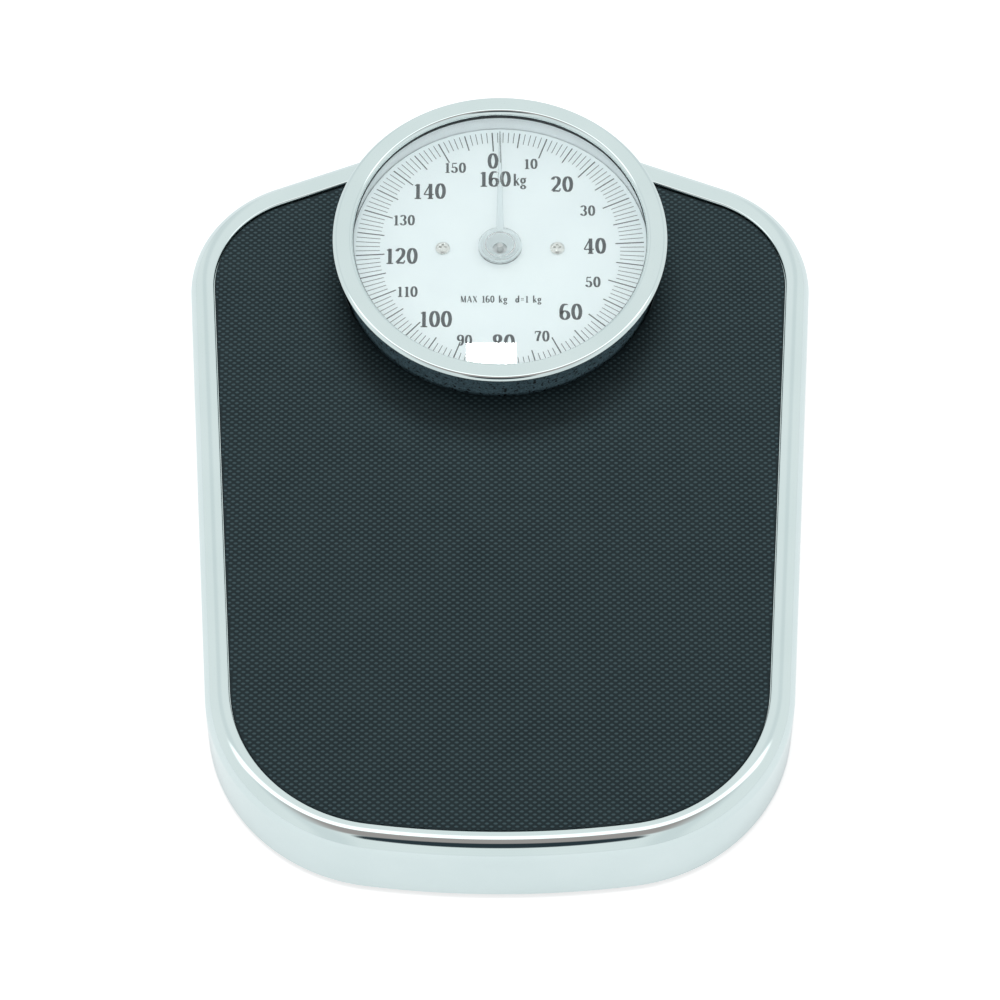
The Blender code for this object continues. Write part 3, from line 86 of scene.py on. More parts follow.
def soft_step(tree, value, start, end):
    """0 before start and 1 after end, with a smooth rise or fall between."""
    step = add_node(tree, "ShaderNodeMapRange", interpolation_type="SMOOTHSTEP")
    step.inputs["From Min"].default_value = start
    step.inputs["From Max"].default_value = end
    if start > end:
        step.inputs["From Min"].default_value = end
        step.inputs["From Max"].default_value = start
        step.inputs["To Min"].default_value = 1.0
        step.inputs["To Max"].default_value = 0.0
    wire(tree, value, step.inputs["Value"])
    return step.outputs["Result"]


def product(tree, *values):
    """The values multiplied together."""
    result = values[0]
    for value in values[1:]:
        multiply = add_node(tree, "ShaderNodeMath", operation="MULTIPLY")
        wire(tree, result, multiply.inputs[0])
        wire(tree, value, multiply.inputs[1])
        result = multiply.outputs[0]
    return result


def blend_colours(tree, share, first, second):
    """Mixes two colours, either of which may be a socket."""
    mix = add_node(tree, "ShaderNodeMix", data_type="RGBA")
    wire(tree, share, mix.inputs["Factor"])
    for value, socket in ((first, mix.inputs["A"]), (second, mix.inputs["B"])):
        if isinstance(value, tuple):
            socket.default_value = (*value, 1.0)
        else:
            wire(tree, value, socket)
    return mix.outputs["Result"]


room = bpy.data.worlds.new("studio")
scene.world = room
room.use_nodes = True
room_tree = room.node_tree
room_tree.nodes.clear()
room_place = add_node(room_tree, "ShaderNodeTexCoord")
room_axes = add_node(room_tree, "ShaderNodeSeparateXYZ")
wire(room_tree, room_place.outputs["Generated"], room_axes.inputs[0])
lean = add_node(room_tree, "ShaderNodeMath", operation="ARCTAN2")
wire(room_tree, room_axes.outputs["Y"], lean.inputs[0])
wire(room_tree, room_axes.outputs["Z"], lean.inputs[1])
sideways = add_node(room_tree, "ShaderNodeMath", operation="ABSOLUTE")
wire(room_tree, room_axes.outputs["X"], sideways.inputs[0])
to_lens = add_node(room_tree, "ShaderNodeVectorMath", operation="DOT_PRODUCT")
to_lens.inputs[1].default_value = camera_way
wire(room_tree, room_place.outputs["Generated"], to_lens.inputs[0])
LAMP_LEAN = [math.radians(turn) for turn in (3, 8, 14, 19)]
LAMP_ENDS = (0.75, 0.55)
CEILING_LEAN = [math.radians(turn) for turn in (-27, -18, 2, 6)]
CEILING_SIDES = (0.55, 0.20)
PANEL_INNER = (0.22, 0.40)
PANEL_OUTER = (0.66, 0.50)
LENS_EDGE = [math.cos(math.radians(turn)) for turn in (15, 10)]
strip_lamp = product(
    room_tree,
    soft_step(room_tree, lean.outputs[0], LAMP_LEAN[0], LAMP_LEAN[1]),
    soft_step(room_tree, lean.outputs[0], LAMP_LEAN[3], LAMP_LEAN[2]),
    soft_step(room_tree, sideways.outputs[0], *LAMP_ENDS),
)
ceiling = product(
    room_tree,
    soft_step(room_tree, lean.outputs[0], CEILING_LEAN[0], CEILING_LEAN[1]),
    soft_step(room_tree, lean.outputs[0], CEILING_LEAN[3], CEILING_LEAN[2]),
    soft_step(room_tree, sideways.outputs[0], *CEILING_SIDES),
)
side_panel = product(
    room_tree,
    soft_step(room_tree, sideways.outputs[0], *PANEL_INNER),
    soft_step(room_tree, sideways.outputs[0], *PANEL_OUTER),
)
lens_dark = soft_step(room_tree, to_lens.outputs["Value"], *LENS_EDGE)
WALL_WHITE = (0.895, 0.94, 0.937)
PANEL_WHITE = (0.79, 0.845, 0.85)
CEILING_GREY = (0.42, 0.37, 0.36)
STRIP_LIGHT = (1.7, 1.7, 1.7)
LENS_BLACK = (0.03, 0.045, 0.055)
FILL_LIGHT = (0.66, 0.68, 0.68)
BACKDROP = (1.0, 1.0, 1.0)
room_colour = blend_colours(room_tree, side_panel, WALL_WHITE, PANEL_WHITE)
room_colour = blend_colours(room_tree, ceiling, room_colour, CEILING_GREY)
room_colour = blend_colours(room_tree, strip_lamp, room_colour, STRIP_LIGHT)
room_colour = blend_colours(room_tree, lens_dark, room_colour, LENS_BLACK)
seen = add_node(room_tree, "ShaderNodeLightPath")
room_colour = blend_colours(room_tree, seen.outputs["Is Diffuse Ray"], room_colour, FILL_LIGHT)
room_colour = blend_colours(room_tree, seen.outputs["Is Camera Ray"], room_colour, BACKDROP)
room_light = add_node(room_tree, "ShaderNodeBackground")
wire(room_tree, room_colour, room_light.inputs["Color"])
room_out = add_node(room_tree, "ShaderNodeOutputWorld")
wire(room_tree, room_light.outputs["Background"], room_out.inputs["Surface"])

soft_box = bpy.data.lights.new("soft_box", "AREA")
soft_box.shape = "RECTANGLE"
soft_box.size = 0.7
soft_box.size_y = 0.5
soft_box.energy = 13.3
soft_box_holder = bpy.data.objects.new("soft_box", soft_box)
soft_box_holder.location = (-0.10, -0.30, 1.95)
soft_box_aim = Vector((0, 0.02, 0.05)) - soft_box_holder.location
soft_box_holder.rotation_euler = soft_box_aim.to_track_quat("-Z", "Y").to_euler()
soft_box_holder.visible_glossy = False
soft_box_holder.visible_transmission = False
scene.collection.objects.link(soft_box_holder)

# Small lamp: a bare lamp above and behind the dial, which lights the glass alone.
# Its image lies on the glass as a pale rectangle.
LAMP_DISTANCE = 1.5
lamp = bpy.data.lights.new("small_lamp", "AREA")
lamp.shape = "RECTANGLE"
lamp.size = 0.043
lamp.size_y = 0.0220
lamp.energy = 0.10
lamp_holder = bpy.data.objects.new("small_lamp", lamp)
lamp_seen_at = Vector((-0.0035, 0.0543, 0.0624))
lamp_way = Vector((-0.0025, 0.4681, 0.8843))
lamp_holder.location = lamp_seen_at + LAMP_DISTANCE * lamp_way
lamp_holder.rotation_euler = (-lamp_way).to_track_quat("-Z", "Y").to_euler()
scene.collection.objects.link(lamp_holder)
glass_only = bpy.data.collections.new("glass_only")
glass_only.objects.link(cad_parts["lens"])
lamp_holder.light_linking.receiver_collection = glass_only

# Floor: white paper, wide enough to fill the view.
# It glows a little for the camera and in the chrome, so that it stays white, and still takes the shadow.
FLOOR_REACH = 4
CAMERA_GLOW = 0.66
MIRROR_GLOW = 0.38
floor_corners = [(x * FLOOR_REACH, y * FLOOR_REACH, 0) for x, y in ((-1, -1), (1, -1), (1, 1), (-1, 1))]
floor_mesh = bpy.data.meshes.new("floor")
floor_mesh.from_pydata(floor_corners, [], [(0, 1, 2, 3)])
floor = bpy.data.objects.new("floor", floor_mesh)
scene.collection.objects.link(floor)
paper = bpy.data.materials.new("white_paper")
paper.use_nodes = True
paper_tree = paper.node_tree
paper_shader = paper_tree.nodes["Principled BSDF"]
paper_shader.inputs["Base Color"].default_value = (0.60, 0.60, 0.60, 1)
paper_shader.inputs["Roughness"].default_value = 0.9
paper_seen = add_node(paper_tree, "ShaderNodeLightPath")
to_camera = paper_seen.outputs["Is Camera Ray"]
paper_glow = blend_colours(paper_tree, to_camera, (0.93, 1.0, 1.02), (1.0, 1.0, 1.0))
wire(paper_tree, paper_glow, paper_shader.inputs["Emission Color"])
camera_glow = add_node(paper_tree, "ShaderNodeMath", operation="MULTIPLY")
camera_glow.inputs[1].default_value = CAMERA_GLOW
wire(paper_tree, to_camera, camera_glow.inputs[0])
mirror_rays = add_node(paper_tree, "ShaderNodeMath", operation="MAXIMUM")
wire(paper_tree, paper_seen.outputs["Is Glossy Ray"], mirror_rays.inputs[0])
wire(paper_tree, paper_seen.outputs["Is Transmission Ray"], mirror_rays.inputs[1])
mirror_glow = add_node(paper_tree, "ShaderNodeMath", operation="MULTIPLY_ADD")
mirror_glow.inputs[1].default_value = MIRROR_GLOW
wire(paper_tree, mirror_rays.outputs[0], mirror_glow.inputs[0])
wire(paper_tree, camera_glow.outputs[0], mirror_glow.inputs[2])
wire(paper_tree, mirror_glow.outputs[0], paper_shader.inputs["Emission Strength"])
floor_mesh.materials.append(paper)


# Base: a pressed steel pan painted dark grey, on four rubber feet pushed into its holes.
# The paint is slightly uneven, as sprayed paint is, and the rubber is dusty.
def cloud_group():
    """A soft noise between two values, with the size of its clouds in marks per metre."""
    group = bpy.data.node_groups.new("soft_clouds", "ShaderNodeTree")
    for name, start in (("Marks", 100.0), ("Low", 0.0), ("High", 1.0)):
        socket = group.interface.new_socket(name, in_out="INPUT", socket_type="NodeSocketFloat")
        socket.default_value = start
    group.interface.new_socket("Value", in_out="OUTPUT", socket_type="NodeSocketFloat")
    given = add_node(group, "NodeGroupInput")
    result = add_node(group, "NodeGroupOutput")
    position = add_node(group, "ShaderNodeTexCoord")
    noise = add_node(group, "ShaderNodeTexNoise")
    noise.inputs["Detail"].default_value = 4.0
    spread = add_node(group, "ShaderNodeMapRange")
    spread.inputs["From Min"].default_value = 0.3
    spread.inputs["From Max"].default_value = 0.7
    wire(group, position.outputs["Object"], noise.inputs["Vector"])
    wire(group, given.outputs["Marks"], noise.inputs["Scale"])
    wire(group, noise.outputs["Fac"], spread.inputs["Value"])
    wire(group, given.outputs["Low"], spread.inputs["To Min"])
    wire(group, given.outputs["High"], spread.inputs["To Max"])
    wire(group, spread.outputs["Result"], result.inputs["Value"])
    return group


soft_clouds = cloud_group()


def clouds(tree, marks, low, high):
    """The soft noise in a finish of its own."""
    node = add_node(tree, "ShaderNodeGroup", node_tree=soft_clouds)
    node.inputs["Marks"].default_value = marks
    node.inputs["Low"].default_value = low
    node.inputs["High"].default_value = high
    return node.outputs["Value"]


def surface_finish(name, dark, light, marks, rough, metallic=0.0, grain=None):
    """A finish that clouds between two colours and two roughnesses, with a fine grain as bump."""
    material = bpy.data.materials.new(name)
    material.use_nodes = True
    tree = material.node_tree
    shader = tree.nodes["Principled BSDF"]
    colour = blend_colours(tree, clouds(tree, marks, 0.0, 1.0), dark, light)
    wire(tree, colour, shader.inputs["Base Color"])
    wire(tree, clouds(tree, marks * 1.7, *rough), shader.inputs["Roughness"])
    shader.inputs["Metallic"].default_value = metallic
    if grain:
        grain_marks, grain_height = grain
        bump = add_node(tree, "ShaderNodeBump")
        bump.inputs["Strength"].default_value = 0.6
        bump.inputs["Distance"].default_value = grain_height
        wire(tree, clouds(tree, grain_marks, 0.0, 1.0), bump.inputs["Height"])
        wire(tree, bump.outputs["Normal"], shader.inputs["Normal"])
    return material


def dress(material, *names):
    """Gives CAD nodes that stay in view their finish."""
    for name in names:
        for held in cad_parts[name].material_slots:
            held.material = material


pan_paint = surface_finish(
    "dark_pan_paint", (0.040, 0.043, 0.047), (0.060, 0.064, 0.068), 60, (0.42, 0.58), grain=(900, 0.0002)
)
dress(pan_paint, "base_pan")
foot_rubber = surface_finish(
    "foot_rubber", (0.020, 0.020, 0.021), (0.045, 0.045, 0.046), 220, (0.75, 0.92), grain=(2200, 0.0002)
)
dress(foot_rubber, *[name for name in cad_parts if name.startswith("foot_")])

# Levers, brackets, pins, rivets and screws: zinc plated steel, with a brass rack and pinion.
# They are riveted, pinned or hooked inside the case and show only from below or with the case open.
# The card's two screws are nickel plated, and the pointer's shaft and bush are pale steel.
zinc_plate = surface_finish(
    "zinc_plate", (0.44, 0.45, 0.44), (0.62, 0.63, 0.60), 140, (0.28, 0.46), 1.0, grain=(1500, 0.00006)
)
brass = surface_finish(
    "brass", (0.60, 0.43, 0.17), (0.76, 0.58, 0.27), 260, (0.22, 0.40), 1.0, grain=(2000, 0.00004)
)
steel_kinds = (
    "fulcrum_bracket", "bracket_rivet", "bracket_screw", "crank", "bell_crank", "dial_bracket", "adjust",
    "rack_guide", "load_bearing", "long_lever", "short_lever", "front_", "rear_", "link_pin", "spring_yoke",
    "zero_screw",
)
dress(zinc_plate, *[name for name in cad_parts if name.startswith(steel_kinds)])
dress(brass, "pinion", "rack")
nickel = surface_finish(
    "bright_nickel", (0.78, 0.79, 0.76), (0.88, 0.88, 0.85), 500, (0.22, 0.36), 1.0, grain=(2400, 0.00004)
)
dress(nickel, "card_screw_left", "card_screw_right")
pale_steel = surface_finish(
    "pale_satin_steel", (0.86, 0.89, 0.89), (0.92, 0.94, 0.94), 400, (0.50, 0.65), 0.4, grain=(2000, 0.00003)
)
dress(pale_steel, "pointer_shaft", "shaft_bush")

# Main springs: two coils of oiled spring wire, each with a bent leg in the adjust plate and one in the yoke.
# Held above and drawn down by the yoke under load, each coil stretches between the two.
spring_wire = surface_finish(
    "spring_wire", (0.30, 0.30, 0.31), (0.46, 0.46, 0.47), 300, (0.22, 0.38), 1.0, grain=(2500, 0.00004)
)
SPRING_WIRE = 0.0018
SPRING_RADIUS = 0.0065
SPRING_TURNS = 6
SPRING_LEG = 0.005
COIL_ABOVE_FOOT = 0.0067
COIL_BELOW_TOP = 0.0057
LEG_GAP = 0.6 * SPRING_WIRE
LEG_TO_COIL = 0.45 * SPRING_RADIUS
POINTS_PER_TURN = 24
for side, hand in (("left", -1), ("right", 1)):
    spring_low, spring_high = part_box(f"main_spring_{side}")
    spring_x, spring_y = (spring_low.x + spring_high.x) / 2, (spring_low.y + spring_high.y) / 2
    coil_low, coil_high = spring_low.z + COIL_ABOVE_FOOT, spring_high.z - COIL_BELOW_TOP
    bend = SPRING_WIRE / 2
    low_bend, high_bend = spring_low.z + bend, spring_high.z - bend
    route = [(0, -SPRING_LEG, low_bend), (0, -bend, low_bend), (0, 0, low_bend + bend)]
    route += [(0, 0, coil_low - LEG_GAP), (LEG_TO_COIL, 0, coil_low)]
    steps = SPRING_TURNS * POINTS_PER_TURN
    for step in range(steps + 1):
        turn = 2 * math.pi * step / POINTS_PER_TURN
        height = coil_low + (coil_high - coil_low) * step / steps
        route.append((SPRING_RADIUS * math.cos(turn), SPRING_RADIUS * math.sin(turn), height))
    route += [(LEG_TO_COIL, 0, coil_high), (0, 0, coil_high + LEG_GAP)]
    route += [(0, 0, high_bend - bend), (0, -bend, high_bend), (0, -SPRING_LEG, high_bend)]
    wire_curve = bpy.data.curves.new("wire", "CURVE")
    wire_curve.dimensions = "3D"
    wire_curve.bevel_depth = SPRING_WIRE / 2
    wire_curve.bevel_resolution = 3
    wire_curve.use_fill_caps = True
    run = wire_curve.splines.new("POLY")
    run.points.add(len(route) - 1)
    for point, (x, y, z) in zip(run.points, route):
        point.co = (spring_x + hand * x, spring_y + y, z, 1.0)
    wire_form = bpy.data.objects.new("wire", wire_curve)
    scene.collection.objects.link(wire_form)
    bent_wire = wire_form.evaluated_get(bpy.context.evaluated_depsgraph_get())
    spring_mesh = bpy.data.meshes.new_from_object(bent_wire)
    bpy.data.objects.remove(wire_form)
    spring_mesh.materials.clear()
    spring_mesh.materials.append(spring_wire)
    spring_mesh.shade_smooth()
    spring = bpy.data.objects.new(f"pulled_spring_{side}", spring_mesh)
    scene.collection.objects.link(spring)
    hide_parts(f"main_spring_{side}")
    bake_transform(spring)

# Zero wheel: a ribbed black plastic wheel, moulded and pressed on the foot of the zero screw.
# A finger turns it from behind.
wheel_plastic = surface_finish(
    "wheel_plastic", (0.045, 0.045, 0.048), (0.075, 0.075, 0.080), 180, (0.40, 0.55), grain=(1800, 0.0001)
)
dress(wheel_plastic, "zero_wheel")

# Platform cover: one steel sheet drawn into a tray with a rolled rim and a deep skirt, then chrome plated.
# A round hole at the back lets the dial housing through. It rests on the levers by its four bearings.
PLATFORM_WIDTH = 0.3146
PLATFORM_LENGTH = 0.4268
BOW_RADIUS = 0.470
FRONT_CORNER = 0.090
REAR_CORNER = 0.065
DIAL_ARC = 0.0894
SIDE_TAPER = math.radians(3.77)
REAR_SLOPE = math.radians(22.0)
SHEET = 0.0012
RIM_WIDTH = 0.0122
SHOULDER = 0.007
ROLL = 0.0009
REAR_RIM_EXTRA = 0.0025
DIAL_Y = PLATFORM_LENGTH / 2 - DIAL_ARC
DIAL_HOLE = 0.0808


def arc(centre, radius, start, end, steps):
    """Points along part of a circle, from one turn to another."""
    turns = [start + (end - start) * i / steps for i in range(steps + 1)]
    return [(centre[0] + radius * math.cos(a), centre[1] + radius * math.sin(a)) for a in turns]


def platform_plan(inset):
    """The platform seen from above, drawn in by inset.

    It has a bow, front corners, tapered sides, rear corners and an arc round the dial.
    """
    dial = Vector((0, DIAL_Y))
    bow = Vector((0, BOW_RADIUS - PLATFORM_LENGTH / 2))
    side = Vector((math.cos(SIDE_TAPER), -math.sin(SIDE_TAPER)))
    along = Vector((-side.y, side.x))
    back = Vector((math.sin(REAR_SLOPE), math.cos(REAR_SLOPE)))
    rear_x = PLATFORM_WIDTH / 2 - REAR_CORNER
    rear = Vector((rear_x, (back.dot(dial) + DIAL_ARC - REAR_CORNER - back.x * rear_x) / back.y))
    reach = side.dot(rear) + REAR_CORNER - FRONT_CORNER
    drop = math.sqrt((BOW_RADIUS - FRONT_CORNER) ** 2 - (reach - side.dot(bow)) ** 2)
    front = reach * side + (along.dot(bow) - drop) * along
    bow_turn = math.atan2(front.y - bow.y, front.x - bow.x)
    half = arc(bow, BOW_RADIUS - inset, -math.pi / 2, bow_turn, 14)[:-1]
    half += arc(front, FRONT_CORNER - inset, bow_turn, -SIDE_TAPER, 36)
    half += arc(rear, REAR_CORNER - inset, -SIDE_TAPER, math.pi / 2 - REAR_SLOPE, 30)
    half += arc(dial, DIAL_ARC - inset, math.pi / 2 - REAR_SLOPE, math.pi / 2, 14)
    extra = REAR_RIM_EXTRA * max(0.0, inset - SHOULDER) / (RIM_WIDTH - SHOULDER)
    half = [(x, y - extra * (y / PLATFORM_LENGTH + 0.5)) for x, y in half]
    return half + [(-x, y) for x, y in reversed(half[1:-1])]


def plan_skin(sections):
    """A closed skin through the platform's plan at each (inset, height)."""
    skin = bmesh.new()
    rings = [[skin.verts.new((x, y, z)) for x, y in platform_plan(inset)] for inset, z in sections]
    for lower, upper in zip(rings, rings[1:]):
        for i in range(len(lower)):
            j = (i + 1) % len(lower)
            skin.faces.new((lower[i], lower[j], upper[j], upper[i]))
    skin.faces.new(rings[0])
    skin.faces.new(rings[-1])
    return skin


def turned(profile, steps):
    """A ring or disc turned about the dial's axis from (radius, height) points."""
    shape = bmesh.new()
    points = [shape.verts.new((radius, 0, height)) for radius, height in profile]
    pairs = list(zip(points, points[1:]))
    if profile[0][0] > 0:
        pairs.append((points[-1], points[0]))
    edges = [shape.edges.new(pair) for pair in pairs]
    bmesh.ops.spin(
        shape,
        geom=points + edges,
        cent=(0, 0, 0),
        axis=(0, 0, 1),
        angle=2 * math.pi,
        steps=steps,
        use_merge=True,
    )
    bmesh.ops.remove_doubles(shape, verts=shape.verts, dist=1e-7)
    bmesh.ops.translate(shape, verts=shape.verts, vec=(0, DIAL_Y, 0))
    return shape


def mesh_of(name, shape, smooth_below=35):
    """A mesh of the shape, smooth across edges that bend less than an angle in degrees."""
    bmesh.ops.recalc_face_normals(shape, faces=shape.faces)
    mesh = bpy.data.meshes.new(name)
    shape.to_mesh(mesh)
    shape.free()
    mesh.shade_smooth()
    mesh.set_sharp_from_angle(angle=math.radians(smooth_below))
    return mesh


def pierced(name, shape, radius, low, high):
    """The shape with the dial's round hole cut through it."""
    blank = bpy.data.objects.new("blank", mesh_of("blank", shape))
    punch_shape = turned([(0, low), (radius, low), (radius, high), (0, high)], 180)
    punch = bpy.data.objects.new("punch", mesh_of("punch", punch_shape))
    for item in (blank, punch):
        scene.collection.objects.link(item)
    cut = blank.modifiers.new("cut", "BOOLEAN")
    cut.operation = "DIFFERENCE"
    cut.solver = "EXACT"
    cut.object = punch
    bpy.context.view_layer.update()
    ready = blank.evaluated_get(bpy.context.evaluated_depsgraph_get())
    mesh = bpy.data.meshes.new_from_object(ready)
    mesh.name = name
    for item in (blank, punch):
        bpy.data.objects.remove(item, do_unlink=True)
    mesh.shade_smooth()
    mesh.set_sharp_from_angle(angle=math.radians(35))
    return mesh


def place(name, mesh, material, body, slot, *stands_for):
    """Puts a piece on its body, with its finish, in place of its CAD nodes."""
    piece = bpy.data.objects.new(name, mesh)
    mesh.materials.clear()
    mesh.materials.append(material)
    scene.collection.objects.link(piece)
    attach(piece, body)
    if stands_for:
        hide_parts(*stands_for)
    return piece


chrome = surface_finish(
    "chrome_plate", (0.70, 0.785, 0.785), (0.73, 0.81, 0.81), 25, (0.03, 0.055), 1.0, grain=(9, 0.000015)
)
cover_low, cover_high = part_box("platform_cover")
crest = cover_high.z
GLUE_LINE = 0.0003
HEM_ROUND = 0.0004
plate_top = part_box("platform_mat")[0].z - GLUE_LINE
sections = [(RIM_WIDTH, plate_top)]
sections += arc((RIM_WIDTH - ROLL, crest - ROLL), ROLL, 0, math.pi / 2, 10)
CROWN = 0.0215
CROWN_TURN = math.radians(8)
sections += arc((RIM_WIDTH - ROLL, crest - CROWN), CROWN, math.pi / 2, math.pi / 2 + CROWN_TURN, 4)[1:]
crown_end = RIM_WIDTH - ROLL - CROWN * math.sin(CROWN_TURN)
shoulder = crown_end / (1 - math.sin(CROWN_TURN))
shoulder_z = crest - CROWN + (CROWN - shoulder) * math.cos(CROWN_TURN)
sections += arc((shoulder, shoulder_z), shoulder, math.pi / 2 + CROWN_TURN, math.pi, 18)[1:]
sections += [(0, cover_low.z + HEM_ROUND), (HEM_ROUND, cover_low.z), (SHEET, cover_low.z)]
sections += arc((shoulder, shoulder_z), shoulder - SHEET, math.pi, math.pi / 2 + CROWN_TURN, 8)
sections += [(RIM_WIDTH - SHEET, crest - SHEET), (RIM_WIDTH - SHEET, plate_top - SHEET)]
cover_skin = plan_skin(sections)
cover_mesh = pierced("platform_cover_plated", cover_skin, DIAL_HOLE, plate_top - 2 * SHEET, crest + SHEET)
place("platform_cover_plated", cover_mesh, chrome, "platform", "chrome", "platform_cover")

# Platform mat: a black rubber sheet moulded with staggered lozenge pips, cut to lie inside the rim.
# It is glued to the plate. The pips' crowns are painted paler than their valleys, a painted highlight where
# they catch the light.
PIP_PITCH = 0.0041
PIP_ROW = 0.0016
PIP_HEIGHT = 0.00055
PIP_SINK = 0.0001
PIP_RIDGE = 0.16 * PIP_PITCH
PIP_MARGIN = 0.0003
PIP_CROWN_MARGIN = 0.0007
# Heights under the pips' tops where the painted highlight on their crowns begins and where it is full.
PIP_HIGHLIGHT_START = 0.00030
PIP_HIGHLIGHT_FULL = 0.00002
mat_low, mat_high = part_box("platform_mat")
mat_rubber = surface_finish(
    "mat_rubber", (0.007, 0.012, 0.014), (0.009, 0.015, 0.017), 45, (0.40, 0.52), grain=(2600, 0.00006)
)
mat_tree = mat_rubber.node_tree
mat_shader = mat_tree.nodes["Principled BSDF"]
mat_shader.inputs["Specular IOR Level"].default_value = 0.20
mat_shader.inputs["Specular Tint"].default_value = (0.80, 1.0, 1.06, 1)
mat_colour = mat_shader.inputs["Base Color"].links[0].from_socket
mat_place = add_node(mat_tree, "ShaderNodeTexCoord")
mat_axes = add_node(mat_tree, "ShaderNodeSeparateXYZ")
wire(mat_tree, mat_place.outputs["Object"], mat_axes.inputs[0])
# Painted highlight: the mat's colour turns paler towards the top of each pip, in place of the light its
# crowns catch.
highlight_from, highlight_to = mat_high.z - PIP_HIGHLIGHT_START, mat_high.z - PIP_HIGHLIGHT_FULL
crown_highlight_share = soft_step(mat_tree, mat_axes.outputs["Z"], highlight_from, highlight_to)
mat_colour = blend_colours(mat_tree, crown_highlight_share, mat_colour, (0.034, 0.057, 0.064))
wire(mat_tree, mat_colour, mat_shader.inputs["Base Color"])
MAT_GAP = 0.0003
MAT_INSET = RIM_WIDTH + MAT_GAP
MAT_HOLE = DIAL_HOLE + MAT_GAP
EDGE_ROUND = 0.0003
sheet_top = mat_high.z - PIP_HEIGHT + PIP_SINK
sheet_sections = [(MAT_INSET, mat_low.z), (MAT_INSET, sheet_top - EDGE_ROUND)]
sheet_sections += [(MAT_INSET + EDGE_ROUND, sheet_top)]
sheet_mesh = pierced("mat_sheet", plan_skin(sheet_sections), MAT_HOLE, mat_low.z - SHEET, mat_high.z + SHEET)
mat_sheet = place("mat_sheet", sheet_mesh, mat_rubber, "platform", "mat_rubber", "platform_mat")


def inside_plan(points, inset):
    """Which of the points lie inside the platform's plan, drawn in by inset."""
    corners = np.array(platform_plan(inset))
    inside = np.zeros(len(points), bool)
    for (ax, ay), (bx, by) in zip(corners, np.roll(corners, -1, axis=0)):
        if ay == by:
            continue
        crosses = (ay > points[:, 1]) != (by > points[:, 1])
        inside ^= crosses & (points[:, 0] < ax + (points[:, 1] - ay) * (bx - ax) / (by - ay))
    return inside


def pip_field():
    """Lozenge pips that share their corners, as one rolling surface over the mat, trimmed to its edge."""
    columns = int(PLATFORM_WIDTH / PIP_PITCH)
    rows = int(PLATFORM_LENGTH / PIP_ROW)
    crowns = []
    for row in range(-rows // 2, rows // 2):
        for column in range(-columns // 2, columns // 2 + 1):
            crowns.append(((column + 0.5 * (row % 2)) * PIP_PITCH, row * PIP_ROW))
    crowns = np.array(crowns)

    def on_mat(points, margin):
        clear = np.hypot(points[:, 0], points[:, 1] - DIAL_Y) > MAT_HOLE + margin
        return clear & inside_plan(points, MAT_INSET + margin)

    crowns = crowns[on_mat(crowns, PIP_CROWN_MARGIN)]
    steps = np.array([(PIP_PITCH / 2, 0), (0, PIP_ROW), (-PIP_PITCH / 2, 0), (0, -PIP_ROW)])
    corners = (crowns[:, None, :] + steps[None, :, :]).reshape(-1, 2)
    owners = np.repeat(crowns, 4, axis=0)
    share = np.ones(len(corners))
    for trim in (0.75, 0.5, 0.25, 0.1):
        outside = ~on_mat(owners + share[:, None] * (corners - owners), PIP_MARGIN)
        share[outside] = trim
    trimmed = owners + share[:, None] * (corners - owners)
    shape = bmesh.new()
    shared = {}
    for i, (x, y) in enumerate(crowns):
        ring = []
        for j in range(4 * i, 4 * i + 4):
            key = tuple(np.round(corners[j] / (PIP_PITCH / 2, PIP_ROW)).astype(int))
            if key not in shared:
                shared[key] = shape.verts.new((*trimmed[j], mat_high.z - PIP_HEIGHT))
            ring.append(shared[key])
        right, back, left, front = ring
        crown_right = shape.verts.new((x + PIP_RIDGE, y, mat_high.z))
        crown_left = shape.verts.new((x - PIP_RIDGE, y, mat_high.z))
        for face in (
            (right, back, crown_right),
            (back, left, crown_left),
            (left, front, crown_left),
            (front, right, crown_right),
            (back, crown_left, crown_right),
            (front, crown_right, crown_left),
        ):
            shape.faces.new(face)
    return shape


mat_pips = place("mat_pips", mesh_of("mat_pips", pip_field(), 180), mat_rubber, "platform", "mat_rubber")

# Rear window: a bright window behind the scale, which lights the mat in place of the soft box overhead.
# The dial's shadow lies on the mat before it.
window = bpy.data.lights.new("rear_window", "AREA")
window.shape = "RECTANGLE"
window.size = 2.2
window.size_y = 1.0
window.energy = 220.0
window_holder = bpy.data.objects.new("rear_window", window)
window_holder.location = (0, 3.1, 2.5)
window_aim = Vector((0, 0, 0.05)) - window_holder.location
window_holder.rotation_euler = window_aim.to_track_quat("-Z", "Y").to_euler()
window_holder.visible_glossy = False
scene.collection.objects.link(window_holder)
mat_only = bpy.data.collections.new("mat_only")
all_but_mat = bpy.data.collections.new("all_but_mat")
for piece in (mat_sheet, mat_pips):
    mat_only.objects.link(piece)
    all_but_mat.objects.link(piece)
for held in all_but_mat.collection_objects:
    held.light_linking.link_state = "EXCLUDE"
window_holder.light_linking.receiver_collection = mat_only
soft_box_holder.light_linking.receiver_collection = all_but_mat

